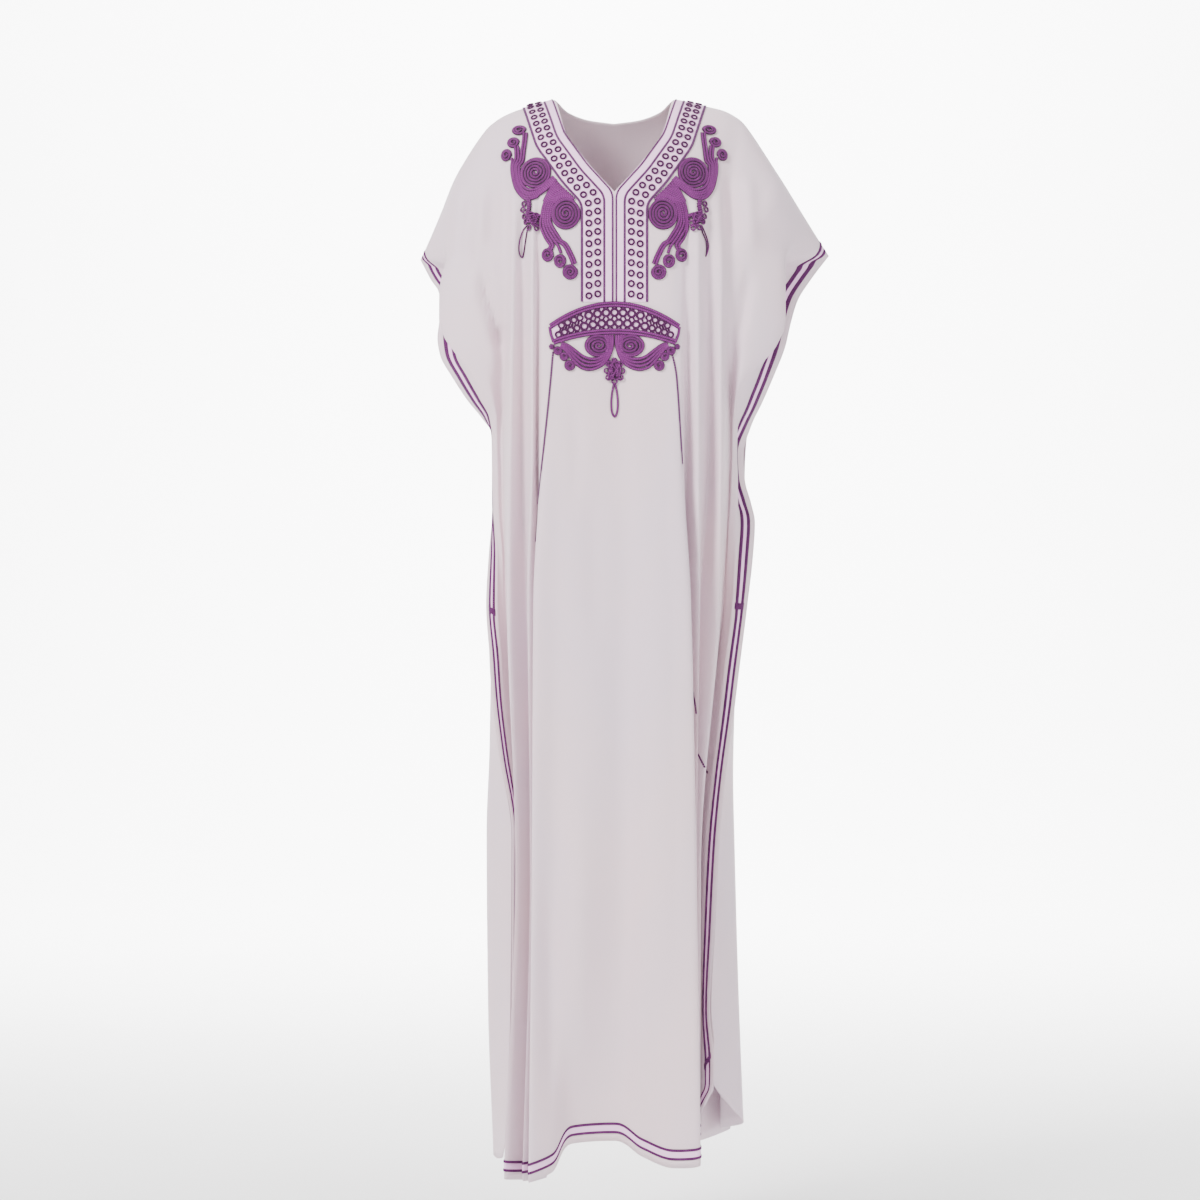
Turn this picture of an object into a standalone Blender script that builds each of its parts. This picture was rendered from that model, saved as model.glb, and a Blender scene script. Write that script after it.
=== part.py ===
"""A full-length kaftan as it hangs on an unseen wearer: cloth walls, neck band, crescent and corded scrolls.

Metres, +Z up, the front faces -Y. The origin is where the wearer's shoulders carry the cloth: midway
between the two neck corners, on the shoulder line.
"""

import math
from collections import namedtuple

import bmesh
import bpy
import numpy as np
from mathutils import Vector

MM = 0.001

# Cloth and trim
CLOTH_WALL = 1.6 * MM
SEAM_GAP = 0.3 * MM
BRAID_WALL = 0.9 * MM
BAND_WALL = 1.2 * MM
SCROLL_WALL = 2.6 * MM
SHARP_EDGE = 50
EDGE_STEPS = 24
WIDEST_BORDER = 0.82
ROWS_FRONT = 28
ROWS_BACK = 19
FIRST_ROW_SHARE = 0.15
BRAID_FROM_EDGE = (25.5 * MM, 8.5 * MM)
BORDER_ROWS = (0.98, 0.993)

# Heights, down from the shoulder line
SMOOTH_Z = -80 * MM
CHEST_Z = -260 * MM
ELBOW_Z = -460 * MM
HIP_Z = -660 * MM
KNEE_Z = -1000 * MM
HEM_Z = -1380 * MM
LEVELS = (CHEST_Z, ELBOW_Z, HIP_Z, KNEE_Z, HEM_Z)
SIDE_SEAM_TOP_Z = -640 * MM
SHOULDER_SEAM_Z = -220 * MM
SLIT_TOP_Z = -1230 * MM
SLIT_OPENS = 60
SLIT_DRIFT = 10
SEAM_BEHIND = 4.6 * MM
SEAM_TURN = 5 * MM
SEAM_TURN_PULL = 0.7
SEAM_CLOSING = 30 * MM
SEAM_BELLY = 0.35

# The general figure that fills the shoulders
BUST_DEPTH = 122 * MM
BUST_CURVE = 1.8
SHOULDER_ROUND = 240 * MM
ROUND_POWER = 0.6
FOLD_SETTLE = 110 * MM

# One row a fold, from the centre outwards, in mm. Each crest or trough runs down from its top through five
# levels. x is out from the centre line, y is out from the shoulder plane, and hem_z is where the fold ends.
Fold = namedtuple(
    "Fold",
    "name top_x top_z chest_x chest_y elbow_x elbow_y hip_x hip_y knee_x knee_y hem_x hem_y hem_z",
)
FRONT_CENTRE = Fold("centre", 0, -135, 0, 119, 4, 127, 8, 129, 9, 121, 0, 84, -1350)
FRONT_RIGHT_FOLDS = (
    Fold("placket_side", 33, -97, 36, 122, 34, 131, 36, 133, 38, 129, 36, 102, -1368),
    Fold("panel", 62, -54, 66, 123, 62, 131, 68, 135, 74, 132, 74, 120, -1379),
    Fold("panel_crest", 79, 0, 84, 118, 85, 128, 97, 132, 104, 130, 110, 122, -1375),
    Fold("first_trough", 92, -2, 93, 112, 92, 102, 84, 84, 82, 76, 88, 72, -1360),
    Fold("second_crest", 106, -5, 107, 119, 107, 121, 108, 108, 106, 92, 108, 88, -1360),
    Fold("second_trough", 123, -9, 120, 100, 121, 86, 108, 68, 88, 48, 90, 44, -1356),
    Fold("third_crest", 143, -14, 136, 108, 137, 105, 134, 88, 112, 62, 111, 58, -1358),
    Fold("slot", 165, -26, 150, 92, 149, 60, 140, 46, 94, 24, 94, 22, -1352),
)
FRONT_LEFT_FOLDS = (
    Fold("placket_side", 33, -97, 36, 122, 36, 131, 38, 134, 42, 131, 56, 88, -1353),
    Fold("panel", 62, -54, 66, 123, 68, 131, 72, 133, 76, 126, 79, 120, -1384),
    Fold("panel_crest", 79, 0, 91, 118, 92, 127, 103, 133, 105, 133, 109, 138, -1395),
    Fold("first_trough", 92, -3, 97, 110, 98, 104, 88, 86, 82, 78, 87, 90, -1386),
    Fold("second_crest", 106, -7, 105, 119, 105, 119, 110, 106, 108, 100, 117, 112, -1390),
    Fold("second_trough", 122, -12, 117, 100, 118, 88, 112, 70, 92, 60, 102, 74, -1380),
    Fold("third_crest", 142, -20, 130, 111, 134, 106, 136, 92, 127, 92, 141, 102, -1378),
    Fold("slot", 163, -34, 143, 92, 144, 62, 139, 48, 104, 36, 114, 42, -1372),
)
BACK_CENTRE = Fold("centre", 0, -24, 0, 104, 0, 108, 0, 110, 0, 108, 0, 98, -1370)
BACK_FOLDS = (
    Fold("spine_side", 34, -20, 36, 108, 36, 116, 38, 120, 40, 122, 42, 118, -1374),
    Fold("first_crest", 60, -12, 68, 112, 70, 122, 74, 128, 78, 132, 84, 138, -1380),
    Fold("first_trough", 79, 0, 84, 103, 84, 96, 84, 86, 84, 76, 90, 76, -1374),
    Fold("second_crest", 97, -4, 100, 108, 103, 114, 106, 116, 110, 116, 118, 120, -1380),
    Fold("second_trough", 118, -9, 116, 96, 116, 82, 113, 68, 110, 54, 114, 50, -1374),
    Fold("third_crest", 142, -16, 134, 102, 138, 100, 142, 94, 148, 82, 156, 78, -1378),
    Fold("slot", 165, -30, 150, 86, 148, 60, 145, 44, 140, 36, 142, 34, -1372),
)

# One row a section of the sleeve and side, in mm: the sleeve's brow, the crest and trough of the fold that
# hides part of its border, and the cloth's edge. Below the sleeve, trough to edge is the border.
Side = namedtuple("Side", "z brow_x brow_y crest_x crest_y trough_x trough_y edge_x edge_y")
FRONT_RIGHT_SIDE = (
    Side(-205, 178, 84, 221, 58, 214, 38, 282, 0),
    Side(-235, 177, 88, 221, 64, 192, 36, 259, 8),
    Side(-265, 176, 90, 221, 67, 190, 38, 240, 20),
    Side(-295, 175, 91, 221, 70, 197, 48, 230, 40),
    Side(-330, 170, 90, 207, 76, 200, 64, 221, 55),
    Side(-365, 161, 89, 176, 84, 186, 76, 207, 62),
    Side(-400, 155, 80, 163, 77, 171, 72, 192, 56),
    Side(-430, 153, 69, 159, 66, 161, 59, 178, 45),
    Side(-467, 153, 62, 159, 56, 153, 44, 168, 40),
    Side(-500, 152, 60, 160, 55, 155, 43, 170, 38),
    Side(-530, 151, 57, 160, 56, 160, 47, 178, 38),
    Side(-555, 149, 54, 156, 56, 162, 52, 183, 40),
    Side(-600, 147, 52, 153, 56, 159, 57, 180, 47),
    Side(-660, 145, 50, 150, 56, 155, 60, 173, 50),
    Side(-745, 134, 44, 139, 53, 144, 62, 162, 57),
    Side(-800, 127, 39, 133, 49, 138, 60, 155, 60),
    Side(-885, 115, 33, 122, 44, 128, 57, 143, 61),
    Side(-970, 104, 28, 112, 40, 120, 54, 135, 60),
    Side(-1080, 100, 25, 108, 36, 115, 52, 129, 60),
    Side(-1185, 100, 23, 107, 34, 113, 50, 123, 60),
    Side(-1255, 100, 23, 108, 34, 115, 50, 129, 58),
    Side(-1375, 100, 22, 106, 33, 112, 48, 121, 57),
)
FRONT_LEFT_SIDE = (
    Side(-210, 180, 84, 216, 56, 212, 36, 254, 0),
    Side(-235, 181, 88, 222, 62, 190, 36, 241, 8),
    Side(-262, 182, 90, 226, 66, 190, 40, 226, 26),
    Side(-293, 181, 90, 226, 69, 200, 50, 227, 42),
    Side(-316, 178, 90, 219, 74, 206, 61, 229, 52),
    Side(-340, 172, 90, 202, 81, 203, 73, 225, 60),
    Side(-369, 163, 86, 180, 82, 188, 74, 209, 60),
    Side(-398, 156, 80, 164, 76, 172, 70, 190, 54),
    Side(-420, 152, 71, 157, 67, 161, 61, 172, 42),
    Side(-448, 150, 63, 153, 57, 155, 51, 160, 33),
    Side(-490, 149, 58, 152, 52, 154, 46, 159, 30),
    Side(-535, 148, 54, 151, 50, 154, 46, 161, 34),
    Side(-600, 145, 51, 149, 51, 153, 52, 163, 44),
    Side(-660, 144, 47, 148, 51, 153, 56, 166, 48),
    Side(-730, 138, 43, 143, 50, 147, 58, 161, 60),
    Side(-780, 133, 41, 138, 48, 144, 58, 157, 62),
    Side(-852, 124, 40, 130, 47, 136, 57, 148, 62),
    Side(-960, 109, 37, 115, 44, 121, 53, 131, 61),
    Side(-1185, 114, 38, 119, 44, 124, 52, 132, 60),
    Side(-1375, 119, 41, 124, 46, 128, 53, 134, 61),
)
BACK_SIDE = (
    Side(-205, 180, 76, 221, 56, 214, 36, 282, 0),
    Side(-235, 180, 80, 221, 62, 192, 36, 259, 8),
    Side(-265, 180, 82, 221, 65, 190, 38, 240, 20),
    Side(-295, 179, 82, 220, 68, 197, 48, 229, 40),
    Side(-330, 173, 82, 205, 73, 198, 62, 219, 54),
    Side(-365, 164, 80, 175, 76, 183, 70, 203, 58),
    Side(-400, 158, 74, 164, 69, 170, 63, 187, 48),
    Side(-440, 155, 60, 160, 54, 164, 48, 176, 32),
    Side(-500, 156, 42, 160, 31, 163, 22, 172, 6),
    Side(-560, 158, 26, 161, 10, 164, -3, 174, -16),
    Side(-610, 160, 14, 160, -10, 160, -28, 176, -32),
)
# Where the side seam closes, one row a height: how far out the side of the body stands, in mm
Flank = namedtuple("Flank", "z right_x left_x y")
FLANKS = (
    Flank(-610, 164, 160, 6),
    Flank(-745, 160, 161, 2),
    Flank(-860, 156, 163, 0),
    Flank(-970, 158, 167, 0),
    Flank(-1185, 164, 165, 0),
    Flank(-1375, 171, 158, 0),
)
# The back's sleeve sections reach as far out as each side's tip from this height up, in mm
TIP_FADE_Z = -330
TIP_FADE = 125
# Ends of the outer lines, in mm: where brow, crest, trough and edge leave the shoulder line, how far below
# it each has reached its own place, and where it ends at the front's and the back's rounded slit corner
Ends = namedtuple("Ends", "top_x top_z settle front_hem_z back_hem_z")
RIGHT_ENDS = (
    Ends(215, -98, 110, -1350, -1328),
    Ends(245, -146, 70, -1338, -1302),
    Ends(268, -183, 60, -1318, -1278),
    Ends(282, -205, 1, -1290, -1255),
)
LEFT_ENDS = (
    Ends(208, -102, 110, -1370, -1374),
    Ends(226, -146, 70, -1352, -1346),
    Ends(243, -186, 60, -1326, -1302),
    Ends(254, -210, 1, -1292, -1262),
)
ARM_ROUNDS = (120 * MM, 90 * MM, 70 * MM, 50 * MM)
NECK_LINES = 4

# Sewn-on trims, in mm as seen from the front: x out from the centre line, z down from the shoulder
TRIM_FLOOR_Z = -480 * MM
TRIM_REACH = 400 * MM
DISC_STEPS = 14
NECK_BAND_LINE = ((119, 20), (119, -10), (103, -68), (80, -109), (57, -137), (42, -157))
NAPE_BAND_LINE = ((119, 20), (119, -8), (106, -36), (74, -58), (30, -66))
BAND_FOOT = (42, 21, 0)
BAND_FOOT_GAP = 0.6
CRESCENT_HALF = 84
CRESCENT_NARROWS = 0.94
CRESCENT_STEPS = 6
CRESCENT_TOP = (-276, -307)
CRESCENT_FOOT = (-314, -331)
# Right shoulder: coiled discs as x, z and radius, then cord bundles as their points and width
SHOULDER_DISCS = (
    (102, -116, 20),
    (62, -161, 18),
    (121, -58, 7.5),
    (130, -74, 7),
    (136, -90, 6.5),
    (56, -239, 10),
    (69, -223, 7.5),
    (82, -214, 8),
)
SHOULDER_CORDS = (
    (((101, -133), (118, -131), (128, -115), (127, -90), (122, -70), (121, -58)), 12),
    (((95, -131), (86, -143), (77, -154)), 11),
    (((77, -158), (81, -178), (78, -200), (69, -216), (58, -232)), 12),
)
SHOULDER_KNOT = ((107, -156, 10), (107, -172, 9))
SHOULDER_LOOP = (((107, -176), (112, -196), (118, -221)), 8)
# Under the crescent, right half
CHEST_DISCS = (
    (15, -334, 14),
    (33, -358, 9),
    (57, -357, 7.5),
    (65, -345, 6.5),
    (74, -338, 6.5),
)
CHEST_CORDS = (
    (((12, -340), (20, -352), (33, -358), (46, -356), (58, -350), (74, -337)), 9),
    (((-2, -336), (8, -336)), 14),
)
CHEST_KNOT = ((0, -362, 9), (0, -374, 8))
CHEST_LOOP = (((0, -378), (0, -400), (0, -421)), 9)


def smooth(t):
    """0 to 1 with level ends."""
    t = np.clip(t, 0.0, 1.0)
    return t * t * (3 - 2 * t)


def through(keys, values, at):
    """A smooth curve through values at rising keys, with no overshoot between them."""
    keys, values = np.asarray(keys, float), np.asarray(values, float)
    step = np.diff(keys)
    slope = np.diff(values) / step
    tangent = np.empty_like(values)
    tangent[0], tangent[-1] = slope[0], slope[-1]
    product = slope[:-1] * slope[1:]
    harmonic = 2 * product / np.where(slope[:-1] + slope[1:] == 0, 1, slope[:-1] + slope[1:])
    tangent[1:-1] = np.where(product > 0, harmonic, 0.0)
    at = np.clip(at, keys[0], keys[-1])
    i = np.clip(np.searchsorted(keys, at) - 1, 0, len(step) - 1)
    t = (at - keys[i]) / step[i]
    return (
        values[i] * (1 + 2 * t) * (1 - t) ** 2
        + step[i] * tangent[i] * t * (1 - t) ** 2
        + values[i + 1] * t * t * (3 - 2 * t)
        + step[i] * tangent[i + 1] * t * t * (t - 1)
    )


class Line:
    """One crest, trough or edge. Its top is x, z, hem z, ridge z, rounding and settling depth."""

    def __init__(self, top, heights, xs, ys, inner):
        self.top = top
        order = np.argsort(heights)
        self.heights = np.asarray(heights)[order]
        self.xs, self.ys = np.asarray(xs)[order], np.asarray(ys)[order]
        self.inner = inner

    def plan(self, z):
        x = through(self.heights, self.xs, z)
        y = through(self.heights, self.ys, z)
        if self.inner:
            bare = BUST_DEPTH - BUST_CURVE * x * x
            folded = smooth((SMOOTH_Z - z) / (SMOOTH_Z - CHEST_Z))
            y = bare + (y - bare) * folded
        return x, y


def fold_line(fold, index):
    xs = np.array([fold.chest_x, fold.elbow_x, fold.hip_x, fold.knee_x, fold.hem_x]) * MM
    ys = np.array([fold.chest_y, fold.elbow_y, fold.hip_y, fold.knee_y, fold.hem_y]) * MM
    top_z = fold.top_z * MM
    ridge_z = 0.0 if index < NECK_LINES else top_z
    top = (fold.top_x * MM, top_z, fold.hem_z * MM, ridge_z, SHOULDER_ROUND, FOLD_SETTLE)
    return Line(top, LEVELS, xs, ys, True)


def side_lines(rows, ends, hem_column):
    """The brow, crest, trough and edge lines of one side."""
    heights = np.array([row.z for row in rows]) * MM
    made = []
    for k, (end, rounding) in enumerate(zip(ends, ARM_ROUNDS)):
        xs = np.array([row[1 + 2 * k] for row in rows]) * MM
        ys = np.array([row[2 + 2 * k] for row in rows]) * MM
        hem_z = getattr(end, hem_column) * MM
        top = (end.top_x * MM, end.top_z * MM, hem_z, end.top_z * MM, rounding, end.settle * MM)
        made.append(Line(top, heights, xs, ys, False))
    return made


def seam_rows(front_rows, flank_column):
    """The back's side sections under the arm opening: its border lies behind the front's, face to face."""
    made = []
    heights = [flank.z for flank in FLANKS[::-1]]
    behind = SEAM_BEHIND / MM
    turn_in = SEAM_TURN / MM
    for row in front_rows:
        if row.z * MM > SIDE_SEAM_TOP_Z:
            continue
        along = np.array([row.edge_x - row.trough_x, row.edge_y - row.trough_y], float)
        along /= np.linalg.norm(along)
        out = np.array([-along[1], along[0]])
        trough = np.array([row.trough_x, row.trough_y]) + along * turn_in - out * behind
        edge = np.array([row.edge_x, row.edge_y]) - out * behind
        flank_x = through(heights, [getattr(flank, flank_column) for flank in FLANKS[::-1]], row.z)
        flank_y = through(heights, [flank.y for flank in FLANKS[::-1]], row.z)
        free = float(smooth((SLIT_TOP_Z / MM - row.z) / SLIT_OPENS))
        trough += free * np.array([SLIT_DRIFT, -SLIT_DRIFT])
        edge += free * np.array([SLIT_DRIFT / 2, -SLIT_DRIFT])
        crest_x = flank_x + (trough[0] - flank_x) * SEAM_BELLY
        crest_y = flank_y + (-trough[1] - flank_y) / 2
        ends = (trough[0], -trough[1], edge[0], -edge[1])
        made.append(Side(row.z, float(flank_x), float(flank_y), float(crest_x), float(crest_y), *ends))
    return tuple(made)


def scaled_sides(rows, ends):
    """The back's sleeve rows, reaching as far out as this side's tip."""
    tip = ends[-1].top_x
    reach = BACK_SIDE[0].edge_x
    made = []
    for row in rows:
        share = smooth((row.z - TIP_FADE_Z) / TIP_FADE)
        shrink = 1 - (1 - tip / reach) * share
        values = list(row)
        for k in (1, 3, 5, 7):
            values[k] = values[k] * float(shrink)
        made.append(Side(*values))
    return tuple(made)


class Panel:
    """A front or a back: its lines from the left edge to the right edge, and the cloth between them."""

    def __init__(self, centre, left, right, facing, seam_turn):
        self.lines = left[::-1] + [centre] + right
        self.signs = np.array([-1.0] * len(left) + [1.0] * (1 + len(right)))
        self.facing = facing
        self.seam_turn = seam_turn

    def along(self, values, at, tangents):
        """Hermite curve through one value a line, at places counted in lines."""
        i = np.clip(np.floor(at).astype(int), 0, len(values) - 2)
        t = at - i
        return (
            values[i] * (1 + 2 * t) * (1 - t) ** 2
            + tangents[i] * t * (1 - t) ** 2
            + values[i + 1] * t * t * (3 - 2 * t)
            + tangents[i + 1] * t * t * (t - 1)
        )

    def tops(self, at):
        """Top x, top z, hem z, ridge z, rounding and settling depth of a column."""
        table = np.array([line.top for line in self.lines])
        table[:, 0] *= self.signs
        return [float(np.interp(at, np.arange(len(table)), column)) for column in table.T]

    def section(self, z, at):
        """Plan place of the column at this height."""
        spots = np.array([line.plan(z) for line in self.lines])
        xs, ys = spots[:, 0] * self.signs, spots[:, 1]
        tx, ty = np.gradient(xs), np.gradient(ys)
        last = len(xs) - 1
        for border, inward in ((0, 1), (last, -1)):
            trough = border + inward
            seamed = float(smooth((SIDE_SEAM_TOP_Z + SEAM_CLOSING - z) / SEAM_CLOSING)) * self.seam_turn
            for values, tangents in ((xs, tx), (ys, ty)):
                band = (values[border] - values[trough]) * -inward
                tangents[border] = band
                tangents[trough] += seamed * (band * SEAM_TURN_PULL - tangents[trough])
        return float(self.along(xs, at, tx)), float(self.along(ys, at, ty))

    def point(self, at, z):
        top_x, top_z, _, ridge_z, rounding, settle = self.tops(at)
        x, y = self.section(z, np.array(at))
        x = top_x + (x - top_x) * float(smooth((top_z - z) / settle))
        below = min(max((ridge_z - z) / rounding, 0.0), 1.0)
        y *= math.sin(math.pi / 2 * below**ROUND_POWER)
        return Vector((x, self.facing * (y + SEAM_GAP / 2), z))

    def spot(self, at, share):
        """The point of a column at this share of its way from the shoulder to the hem."""
        _, top_z, hem_z, _, _, _ = self.tops(at)
        return self.point(at, top_z + (hem_z - top_z) * share)

    def from_edge(self, edge, share, distances):
        """Columns that lie these distances in from the cloth's edge, measured along the cloth."""
        inward = 1 if edge == 0 else -1
        ats = [edge + inward * k / EDGE_STEPS for k in range(EDGE_STEPS + 1)]
        spots = [self.spot(at, share) for at in ats]
        lengths = np.cumsum([0.0] + [(b - a).length for a, b in zip(spots, spots[1:])])
        longest = lengths[-1] * WIDEST_BORDER
        return [float(np.interp(min(d, longest * d / max(distances)), lengths, ats)) for d in distances]


def front_and_back():
    right = [fold_line(f, k) for k, f in enumerate(FRONT_RIGHT_FOLDS, 1)]
    left = [fold_line(f, k) for k, f in enumerate(FRONT_LEFT_FOLDS, 1)]
    front = Panel(
        fold_line(FRONT_CENTRE, 0),
        left + side_lines(FRONT_LEFT_SIDE, LEFT_ENDS, "front_hem_z"),
        right + side_lines(FRONT_RIGHT_SIDE, RIGHT_ENDS, "front_hem_z"),
        -1.0,
        0.0,
    )
    folds = [fold_line(f, k) for k, f in enumerate(BACK_FOLDS, 1)]
    right_rows = scaled_sides(BACK_SIDE, RIGHT_ENDS) + seam_rows(FRONT_RIGHT_SIDE, "right_x")
    left_rows = scaled_sides(BACK_SIDE, LEFT_ENDS) + seam_rows(FRONT_LEFT_SIDE, "left_x")
    back = Panel(
        fold_line(BACK_CENTRE, 0),
        folds + side_lines(left_rows, LEFT_ENDS, "back_hem_z"),
        folds + side_lines(right_rows, RIGHT_ENDS, "back_hem_z"),
        1.0,
        1.0,
    )
    return front, back


def material(name, colour, roughness):
    made = bpy.data.materials.new(name)
    made.use_nodes = True
    shader = made.node_tree.nodes["Principled BSDF"]
    shader.inputs["Base Color"].default_value = (*colour, 1)
    shader.inputs["Roughness"].default_value = roughness
    shader.inputs["Metallic"].default_value = 0.0
    return made


def new_object(name, bm, look):
    mesh = bpy.data.meshes.new(name)
    bm.to_mesh(mesh)
    bm.free()
    made = bpy.data.objects.new(name, mesh)
    bpy.context.scene.collection.objects.link(made)
    mesh.materials.append(look)
    mesh.shade_smooth()
    mesh.set_sharp_from_angle(angle=math.radians(SHARP_EDGE))
    return made


def row_places(panel, share):
    """Where a row's columns stand, counted in lines: two a fold, one an outer line, the braid's sides."""
    last = len(panel.lines) - 1
    inner, outer = panel.from_edge(0, share, BRAID_FROM_EDGE)
    left = [0.0, outer, inner, 1.0, 2.0]
    inner, outer = panel.from_edge(last, share, BRAID_FROM_EDGE)
    right = [last - 2.0, last - 1.0, inner, outer, float(last)]
    return left + [k / 2 for k in range(5, 2 * last - 4)] + right


def row_shares(rows):
    """How far down the cloth each row lies, close together at the shoulder."""
    spread = [k / rows for k in range(rows)]
    upper = [BORDER_ROWS[0] * (FIRST_ROW_SHARE * t + (1 - FIRST_ROW_SHARE) * t * t) for t in spread]
    return upper + list(BORDER_ROWS) + [1.0]


def sheet_points(panel, rows):
    """The panel's outer face as rows of points."""
    return [[panel.spot(at, share) for at in row_places(panel, share)] for share in row_shares(rows)]


def cloth_sheet(sheet, facing):
    """A panel's outer face: its mesh, then each vertex's column and row, then its way out."""
    across, along = len(sheet[0]) - 1, len(sheet) - 1
    bm = bmesh.new()
    bmesh.ops.create_grid(bm, x_segments=across, y_segments=along, size=0.5)
    spot = {}
    for vert in bm.verts:
        column, row = round((vert.co.x + 0.5) * across), round((0.5 - vert.co.y) * along)
        vert.co = sheet[row][column]
        spot[vert] = (column, row)
    if facing > 0:
        bmesh.ops.reverse_faces(bm, faces=bm.faces)
    bmesh.ops.triangulate(bm, faces=bm.faces)
    bm.normal_update()
    way_out = {vert: vert.normal.copy() for vert in bm.verts}
    return bm, spot, way_out


def thicken(bm, way_out, inner, outer, facing):
    """Move the sheet out to the outer distance, wall it to the inner one and keep it on its own side."""
    faces = list(bm.faces)
    rim = [edge for edge in bm.edges if edge.is_boundary]
    twin = {}
    for vert in list(bm.verts):
        twin[vert] = bm.verts.new(vert.co + way_out[vert] * inner)
        vert.co = vert.co + way_out[vert] * outer
    for face in faces:
        bm.faces.new([twin[vert] for vert in reversed(face.verts)])
    for edge in rim:
        loop = edge.link_loops[0]
        start, end = loop.vert, loop.link_loop_next.vert
        bm.faces.new((end, start, twin[start], twin[end]))
    for vert in bm.verts:
        if vert.co.z > SHOULDER_SEAM_Z and facing * vert.co.y < SEAM_GAP / 2:
            vert.co.y = facing * SEAM_GAP / 2


def cloth_wall(name, sheet, facing, look):
    """A panel with its thickness on the wearer's side."""
    bm, _, way_out = cloth_sheet(sheet, facing)
    thicken(bm, way_out, -CLOTH_WALL, 0.0, facing)
    return new_object(name, bm, look)


def border_braid(name, sheet, facing, look):
    """The braid that runs down one side, round the hem and up the other, laid on the panel's own faces."""
    bm, spot, way_out = cloth_sheet(sheet, facing)
    last_column = len(sheet[0]) - 2
    hem = len(sheet) - 3
    off = []
    for face in bm.faces:
        column = min(spot[vert][0] for vert in face.verts)
        row = min(spot[vert][1] for vert in face.verts)
        on_side = column in (1, last_column - 1) and row <= hem
        on_hem = row == hem and 1 <= column <= last_column - 1
        if not (on_side or on_hem):
            off.append(face)
    bmesh.ops.delete(bm, geom=off, context="FACES")
    thicken(bm, way_out, SEAM_GAP, SEAM_GAP + BRAID_WALL, facing)
    return new_object(name, bm, look)


def trim_skin(name, sheet, facing, wall):
    """A cutter that follows the chest or nape of a panel, standing just off it and as thick as a trim."""
    bm, _, way_out = cloth_sheet(sheet, facing)
    low = [face for face in bm.faces if face.calc_center_median().z < TRIM_FLOOR_Z]
    bmesh.ops.delete(bm, geom=low, context="FACES")
    thicken(bm, way_out, SEAM_GAP, SEAM_GAP + wall, facing)
    skin = new_object(name, bm, material(name, (0.5, 0.5, 0.5), 0.5))
    skin.hide_render = True
    return skin


def prism(bm, outline, facing):
    """One closed outline, in mm as seen from the front, pushed through the cloth along Y."""
    near, far = TRIM_REACH * facing, 0.0
    front = [bm.verts.new((x * MM, near, z * MM)) for x, z in outline]
    rear = [bm.verts.new((x * MM, far, z * MM)) for x, z in outline]
    bm.faces.new(front)
    bm.faces.new(rear[::-1])
    for k in range(len(outline)):
        n = (k + 1) % len(outline)
        bm.faces.new((front[n], front[k], rear[k], rear[n]))


def disc(x, z, radius):
    """The outline of a coiled disc."""
    steps = DISC_STEPS if radius > 9 else DISC_STEPS // 2
    turns = [2 * math.pi * (k + 0.5) / steps for k in range(steps)]
    return [(x + radius * math.cos(a), z + radius * math.sin(a)) for a in turns]


def ribbon(points, width):
    """The outline of a bundle of cords that runs through the points."""
    left, right = [], []
    for k, (x, z) in enumerate(points):
        before, after = points[max(k - 1, 0)], points[min(k + 1, len(points) - 1)]
        along = Vector((after[0] - before[0], after[1] - before[1])).normalized()
        left.append((x - along.y * width / 2, z + along.x * width / 2))
        right.append((x + along.y * width / 2, z - along.x * width / 2))
    return left + right[::-1]


def trim(name, outlines, skin, facing, look):
    """A sewn-on piece: its outlines, cut out of the skin that follows the cloth."""
    bm = bmesh.new()
    for outline in outlines:
        prism(bm, outline, facing)
    bmesh.ops.recalc_face_normals(bm, faces=bm.faces)
    piece = new_object(name, bm, look)
    cut = piece.modifiers.new("lies_on_cloth", "BOOLEAN")
    cut.operation = "INTERSECT"
    cut.solver = "EXACT"
    cut.use_self = len(outlines) > 1
    cut.object = skin
    return piece


def mirrored(outline):
    return [(-x, z) for x, z in outline[::-1]]


def crescent_edge(x, edge):
    """Height of the crescent's upper or lower edge, in mm."""
    apex, end = edge
    return apex + (end - apex) * (x / CRESCENT_HALF) ** 2


def crescent_outline():
    """The crescent, from the left along its upper edge and back along the lower one."""
    xs = [CRESCENT_HALF * k / CRESCENT_STEPS for k in range(-CRESCENT_STEPS, CRESCENT_STEPS + 1)]
    upper = [(x, crescent_edge(x, CRESCENT_TOP)) for x in xs]
    lower = [(x * CRESCENT_NARROWS, crescent_edge(x, CRESCENT_FOOT)) for x in xs[::-1]]
    return upper + lower


def neck_outline():
    """All the cloth inside the neck band's outer line; the neck itself is the panel's own edge."""
    foot = [(x, crescent_edge(x, CRESCENT_TOP) + BAND_FOOT_GAP) for x in BAND_FOOT]
    half = list(NECK_BAND_LINE) + foot
    return half + mirrored(half)[1:]


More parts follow.
